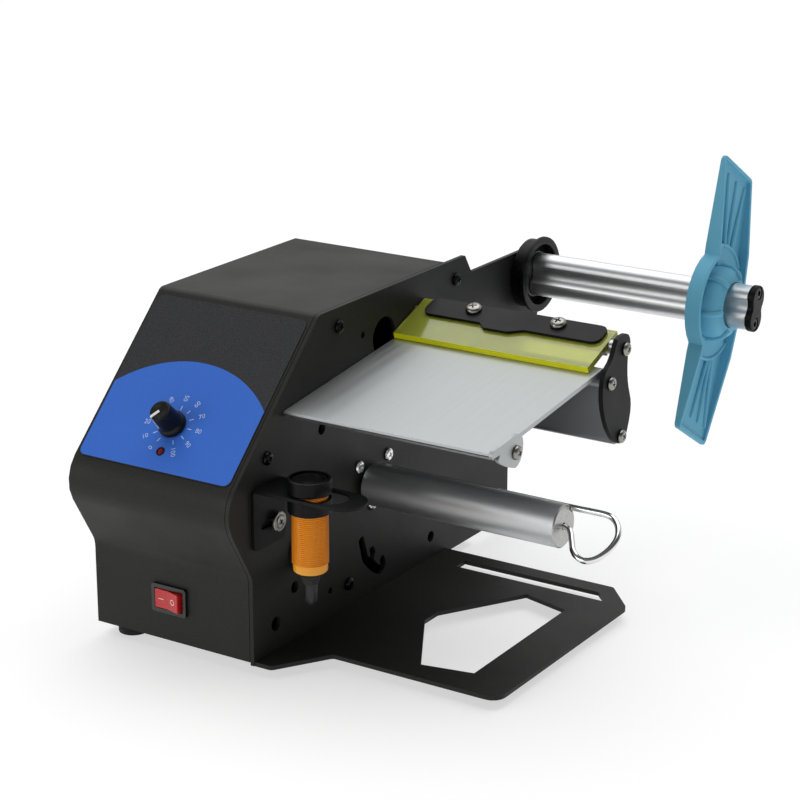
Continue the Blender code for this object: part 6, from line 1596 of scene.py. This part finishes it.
@dataclass
class Supply:
    """Supply roll shaft: collar and bearing on the arm, hub, fluted shaft and end cap."""

    y: float = 0.2640
    z: float = 0.1369
    tilt: float = math.radians(-13.0)
    left: float = WIDTH + GAP
    collar_depth: float = 0.0092
    collar_radius: float = 0.0190
    collar_lip: float = 0.0210
    lip: float = 0.0020
    wall: float = 0.0022
    floor: float = 0.0027
    boss: float = 0.0110
    bore: float = 0.0083
    frame_inner: float = WIDTH - 0.0022
    rim: float = 0.0005
    lobe: float = 0.0065
    lobe_offset: float = 0.0054
    flute: float = 0.0045
    crease: float = math.radians(6.0)
    hollow: float = 0.0019
    port_offset: float = 0.0082
    port: float = 0.0022
    shaft_left: float = WIDTH + 0.0063
    shaft_end: float = WIDTH + 0.1356
    cap_depth: float = 0.0036
    cap_lobe: float = 0.0070
    cap_hole: float = 0.0018
    cap_sink: float = 0.0035
    screw_head: float = 0.0032
    screw_rise: float = 0.0015
    screw_length: float = 0.0140

    def build(self) -> None:
        """Make the collar, the bearing, the hub, the shaft and the cap with its screws."""
        collar = settle("supply_collar_moulded", self.collar(), along_x(0.0, self.y, self.z))
        ride(collar, Body.MACHINE, COLLAR_BLACK, "supply_collar")
        dress("supply_bearing_bush", "supply_bearing", Body.MACHINE, BRASS, 0.0003)
        dress("supply_hub_moulded", "supply_hub", Body.SUPPLY, BLACK_PLASTIC, 0.0004)
        dress("supply_hub_nut_zinc", "supply_hub_nut", Body.SUPPLY, STEEL, 0.0003)
        place = along_x(self.shaft_left, self.y, self.z, self.tilt)
        ports = [(0.0, self.port_offset), (0.0, -self.port_offset)]
        loops = [self.creased()] + [circle(port, self.port, 24) for port in ports]
        shaft = slab(loops, self.shaft_end - self.shaft_left, 0.0002)
        ride(settle("supply_shaft_drawn", shaft, place, 25.0), Body.SUPPLY, ALUMINIUM, "supply_shaft")
        self.cap(ports)

    def creased(self) -> Loop:
        """Outline of the drawn shaft: two round lobes that meet its hollow flanks in a crease."""
        side = self.lobe * math.cos(self.crease)
        half = self.lobe_offset - self.lobe * math.sin(self.crease)
        radius = (half**2 + self.hollow**2) / (2 * self.hollow)
        sweep = math.asin(half / radius)
        middle = side + radius - self.hollow
        crease = self.crease
        top = arc((0.0, self.lobe_offset), self.lobe, -crease, math.pi + crease, 32)
        left = arc((-middle, 0.0), radius, sweep, -sweep, 16)
        low = arc((0.0, -self.lobe_offset), self.lobe, math.pi - crease, 2 * math.pi + crease, 32)
        right = arc((middle, 0.0), radius, math.pi + sweep, math.pi - sweep, 16)
        return top + left[1:-1] + low + right[1:-1]

    def collar(self) -> bpy.types.Mesh:
        """Mesh of the collar: a cup with a lip, and its boss through the arm."""
        outer, lip, rim = self.collar_radius, self.collar_lip, self.rim
        left, face = self.left, self.left + self.collar_depth
        inner = outer - self.wall
        floor = left + self.floor
        under = face - self.lip
        profile = [
            (inner + rim, face), (lip - rim, face), (lip - rim * 0.3, face - rim * 0.3), (lip, face - rim),
            (lip, under + rim * 0.6), (lip - rim * 0.6, under), (outer + rim * 0.6, under),
            (outer, under - rim * 0.6), (outer, left + rim), (outer - rim, left), (self.boss, left),
            (self.boss, self.frame_inner), (self.bore, self.frame_inner), (self.bore, floor),
            (inner - rim * 2, floor), (inner - rim * 0.6, floor + rim * 0.6), (inner, floor + rim * 2),
            (inner, face - rim), (inner + rim * 0.3, face - rim * 0.3),
        ]
        return turned(profile, 96, ring=True)

    def cap(self, ports: list[Point2]) -> None:
        """Make the end cap and its two sunk screws.

        Args:
            ports: Places of the screws on the shaft's end.
        """
        left = self.shaft_end + GAP
        outline = dog_bone(self.cap_lobe, self.lobe_offset, self.flute, 24)
        cap = slab([outline], self.cap_depth, 0.0006, 3)
        seat = self.cap_depth - self.screw_rise - 2 * GAP
        cutters = []
        top = self.cap_depth + OVER
        sink = [
            (0.0, top), (self.cap_sink, top), (self.cap_sink, seat), (self.cap_hole, seat),
            (self.cap_hole, -OVER), (0.0, -OVER),
        ]
        for side, up in ports:
            cutters.append(moved(turned(sink, 32), Matrix.Translation((side, up, 0.0))))
        place = along_x(left, self.y, self.z, self.tilt)
        piece = settle("shaft_end_cap_moulded", carve(cap, *cutters), place)
        ride(piece, Body.SUPPLY, COLLAR_BLACK, "shaft_end_cap")
        screw = Screw(SCREW_BLACK, self.screw_head, self.screw_rise, recess=Recess.HEX)
        for index, (side, up) in enumerate(ports):
            spot = place @ Matrix.Translation((side, up, seat + GAP))
            screw.stand_for(f"end_cap_screw_{index + 1}", spot, self.screw_length, Body.SUPPLY, 0.2 * index)


@dataclass
class Retainer:
    """Blue roll retainer: domed hub and two ribbed wings that slide along the shaft."""

    back: float = WIDTH + 0.1107
    y: float = 0.2640
    z: float = 0.1369
    web: float = 0.0030
    rib_width: float = 0.0024
    rib_start: float = 0.0038
    rib_end: float = 0.0030
    ribs: tuple[tuple[Point2, Point2], ...] = (
        ((0.0093, 0.0286), (0.0122, 0.0663)), ((0.0132, 0.0278), (0.0225, 0.0600)),
        ((0.0185, 0.0262), (0.0328, 0.0546)), ((-0.0061, -0.0300), (-0.0222, -0.0577)),
        ((-0.0031, -0.0306), (-0.0136, -0.0630)), ((-0.0005, -0.0308), (-0.0050, -0.0683)),
    )
    step_radius: float = 0.0305
    step_top: float = 0.0042
    step_bead: float = 0.0010
    step_spans: tuple[Point2, ...] = ((25.0, 86.0), (232.0, 298.0))
    dome: float = 0.0196
    dome_height: float = 0.0148
    dome_shares: tuple[Point2, ...] = (
        (0.76, 0.99), (0.84, 0.93), (0.91, 0.83), (0.97, 0.66), (1.00, 0.40), (1.00, 0.22),
    )
    band: float = 0.0015
    band_angles: tuple[float, ...] = (4.0, 64.0, 124.0, 184.0, 244.0, 304.0)

    def build(self) -> None:
        """Make the moulding with its ribs, its steps and its bands."""
        dress("roll_retainer_moulded", "roll_retainer", Body.RETAINER, BLUE, 0.0006, 3, 40.0)
        place = along_x(self.back, self.y, self.z)
        ribs = [self.rib(start, end) for start, end in self.ribs]
        ride(settle("roll_retainer_ribs", merged(*ribs), place, 60.0), Body.RETAINER, BLUE)
        steps = [part for span in self.step_spans for part in self.step(*map(math.radians, span))]
        ride(settle("roll_retainer_steps", merged(*steps), place, 50.0), Body.RETAINER, BLUE)
        curve = [(self.dome * out, 0.0, self.dome_height * up) for out, up in self.dome_shares]
        band = tube(smooth_curve(curve, 4), self.band, 14)
        turns = [Matrix.Rotation(math.radians(angle), 4, "Z") for angle in self.band_angles]
        bands = [moved(band.copy(), turn) for turn in turns]
        ride(settle("roll_retainer_bands", merged(*bands), place, 50.0), Body.RETAINER, BLUE)

    def step(self, first: float, last: float) -> list[bpy.types.Mesh]:
        """Meshes of the raised step where a wing leaves the hub, with the bead on its rim.

        Args:
            first: First angle, in radians.
            last: Last angle, in radians.

        Returns:
            The step and its bead.
        """
        outer = arc((0.0, 0.0), self.step_radius, first, last, 24)
        inner = arc((0.0, 0.0), self.dome, last, first, 24)
        low = self.web - self.step_bead
        flat = slab([outer + inner], self.step_top - low, 0.0003)
        flat = moved(flat, Matrix.Translation((0.0, 0.0, low)))
        bead = tube([Vector((x, y, self.step_top)) for x, y in outer], self.step_bead, 12)
        return [flat, bead]

    def rib(self, start: Point2, end: Point2) -> bpy.types.Mesh:
        """Mesh of one rounded rib that sinks into the web towards its tip.

        Args:
            start: Its end at the hub.
            end: Its end at the wing's tip.

        Returns:
            The closed mesh.
        """
        path = [Vector((start[0], start[1], self.rib_start)), Vector((end[0], end[1], self.rib_end))]
        return tube(path, self.rib_width / 2, 16)


# Studio


@dataclass
class Studio:
    """Camera, lights and floor."""

    camera_place: Point3 = (0.60390, -0.98986, 0.4845)
    camera_pitch: float = math.radians(71.951)
    camera_turn: float = math.radians(32.655)
    lens: float = 106.44
    sensor: float = 36.0
    floor: float = 6.0
    sky: float = 1.0
    back_sky: float = 0.72
    front_low: float = 0.80
    front_high: float = 0.10
    right_dim: float = 0.35
    back_span: Point2 = (-0.05, 0.25)
    front_span: Point2 = (0.08, 0.52)
    right_span: Point2 = (0.45, 0.90)
    overhead: float = 1.75
    overhead_spread: float = math.radians(70.0)
    overhead_tilt: Point3 = (math.radians(-12.0), math.radians(-10.0), 0.0)
    softbox_place: Point3 = (-0.75, -1.15, 0.55)
    softbox_aim: Point3 = (0.0, 0.0, 0.08)
    softbox_size: float = 0.6
    softbox_power: float = 3.0

    def build(self) -> None:
        """Make the camera, the lights and the floor."""
        scene = bpy.context.scene
        scene.view_settings.view_transform = "Standard"
        camera = bpy.data.cameras.new("studio_camera")
        camera.lens = self.lens
        camera.sensor_width = self.sensor
        camera.clip_start = 0.05
        scene.camera = self.stand(camera, self.camera_place, (self.camera_pitch, 0.0, self.camera_turn))
        softbox = bpy.data.lights.new("softbox_front", "AREA")
        softbox.size = self.softbox_size
        softbox.energy = self.softbox_power
        aim = Vector(self.softbox_aim) - Vector(self.softbox_place)
        self.stand(softbox, self.softbox_place, aim.to_track_quat("-Z", "Y").to_euler())
        sun = bpy.data.lights.new("ceiling_light", "SUN")
        sun.energy = self.overhead
        sun.angle = self.overhead_spread
        self.stand(sun, (0.0, 0.0, 0.0), self.overhead_tilt)
        scene.world = self.surroundings()
        work = bmesh.new()
        bmesh.ops.create_grid(work, x_segments=2, y_segments=2, size=self.floor)
        ground = settle("studio_floor", from_bmesh(work), Matrix.Identity(4))
        ground.data.materials.append(FLOOR.material())

    def stand(self, data: bpy.types.ID, place: Point3, turn: Sequence[float]) -> bpy.types.Object:
        """Put up a camera or a light.

        Args:
            data: The camera or light.
            place: Its place.
            turn: Its turn, as angles about x, y and z.

        Returns:
            The object that holds it.
        """
        holder = bpy.data.objects.new(data.name, data)
        holder.location = place
        holder.rotation_euler = turn
        bpy.context.scene.collection.objects.link(holder)
        return holder

    def surroundings(self) -> bpy.types.World:
        """Walls of the studio: bright behind and low in front, dark high in front and dim on the right."""
        world = bpy.data.worlds.new("studio")
        world.use_nodes = True
        tree = world.node_tree
        towards = shader(tree, "TexCoord", "Generated", {})
        split = shader(tree, "SeparateXYZ", "X", {0: towards}).node.outputs
        back = self.ramp(tree, split["Y"], self.back_span, (0.0, 1.0))
        front = self.ramp(tree, split["Z"], self.front_span, (self.front_low, self.front_high))
        side = self.ramp(tree, split["X"], self.right_span, (1.0, self.right_dim))
        wall = shader(tree, "Mix", "Result", {"Factor": back, "A": front, "B": self.back_sky})
        dim = shader(tree, "Math", "Value", {0: wall, 1: side}, operation="MULTIPLY")
        background = tree.nodes["Background"]
        background.inputs["Strength"].default_value = self.sky
        feed(tree, background.inputs["Color"], dim)
        return world

    @staticmethod
    def ramp(tree: bpy.types.NodeTree, source: bpy.types.NodeSocket, span: Point2,
             ends: Point2) -> bpy.types.NodeSocket:
        """Smooth step of a value between two ends.

        Args:
            tree: Node tree that gets the step.
            source: The value.
            span: First and last value of the step.
            ends: Results at both.

        Returns:
            The result.
        """
        inputs = {"Value": source, "From Min": span[0], "From Max": span[1]}
        inputs |= {"To Min": ends[0], "To Max": ends[1]}
        return shader(tree, "MapRange", "Result", inputs, interpolation_type="SMOOTHSTEP")


def main() -> None:
    """Build the studio and dress each sub-assembly in order."""
    logging.basicConfig(level=logging.INFO, format="%(message)s")
    Studio().build()
    panel = ControlPanel()
    parts = (
        Housing(), panel, SpeedKnob(panel), PowerSwitch(), Drive(), TakeUp(), LabelTable(), Press(),
        Sensor(), Supply(), Retainer(),
    )
    for part in parts:
        part.build()


if __name__ == "__main__":
    main()
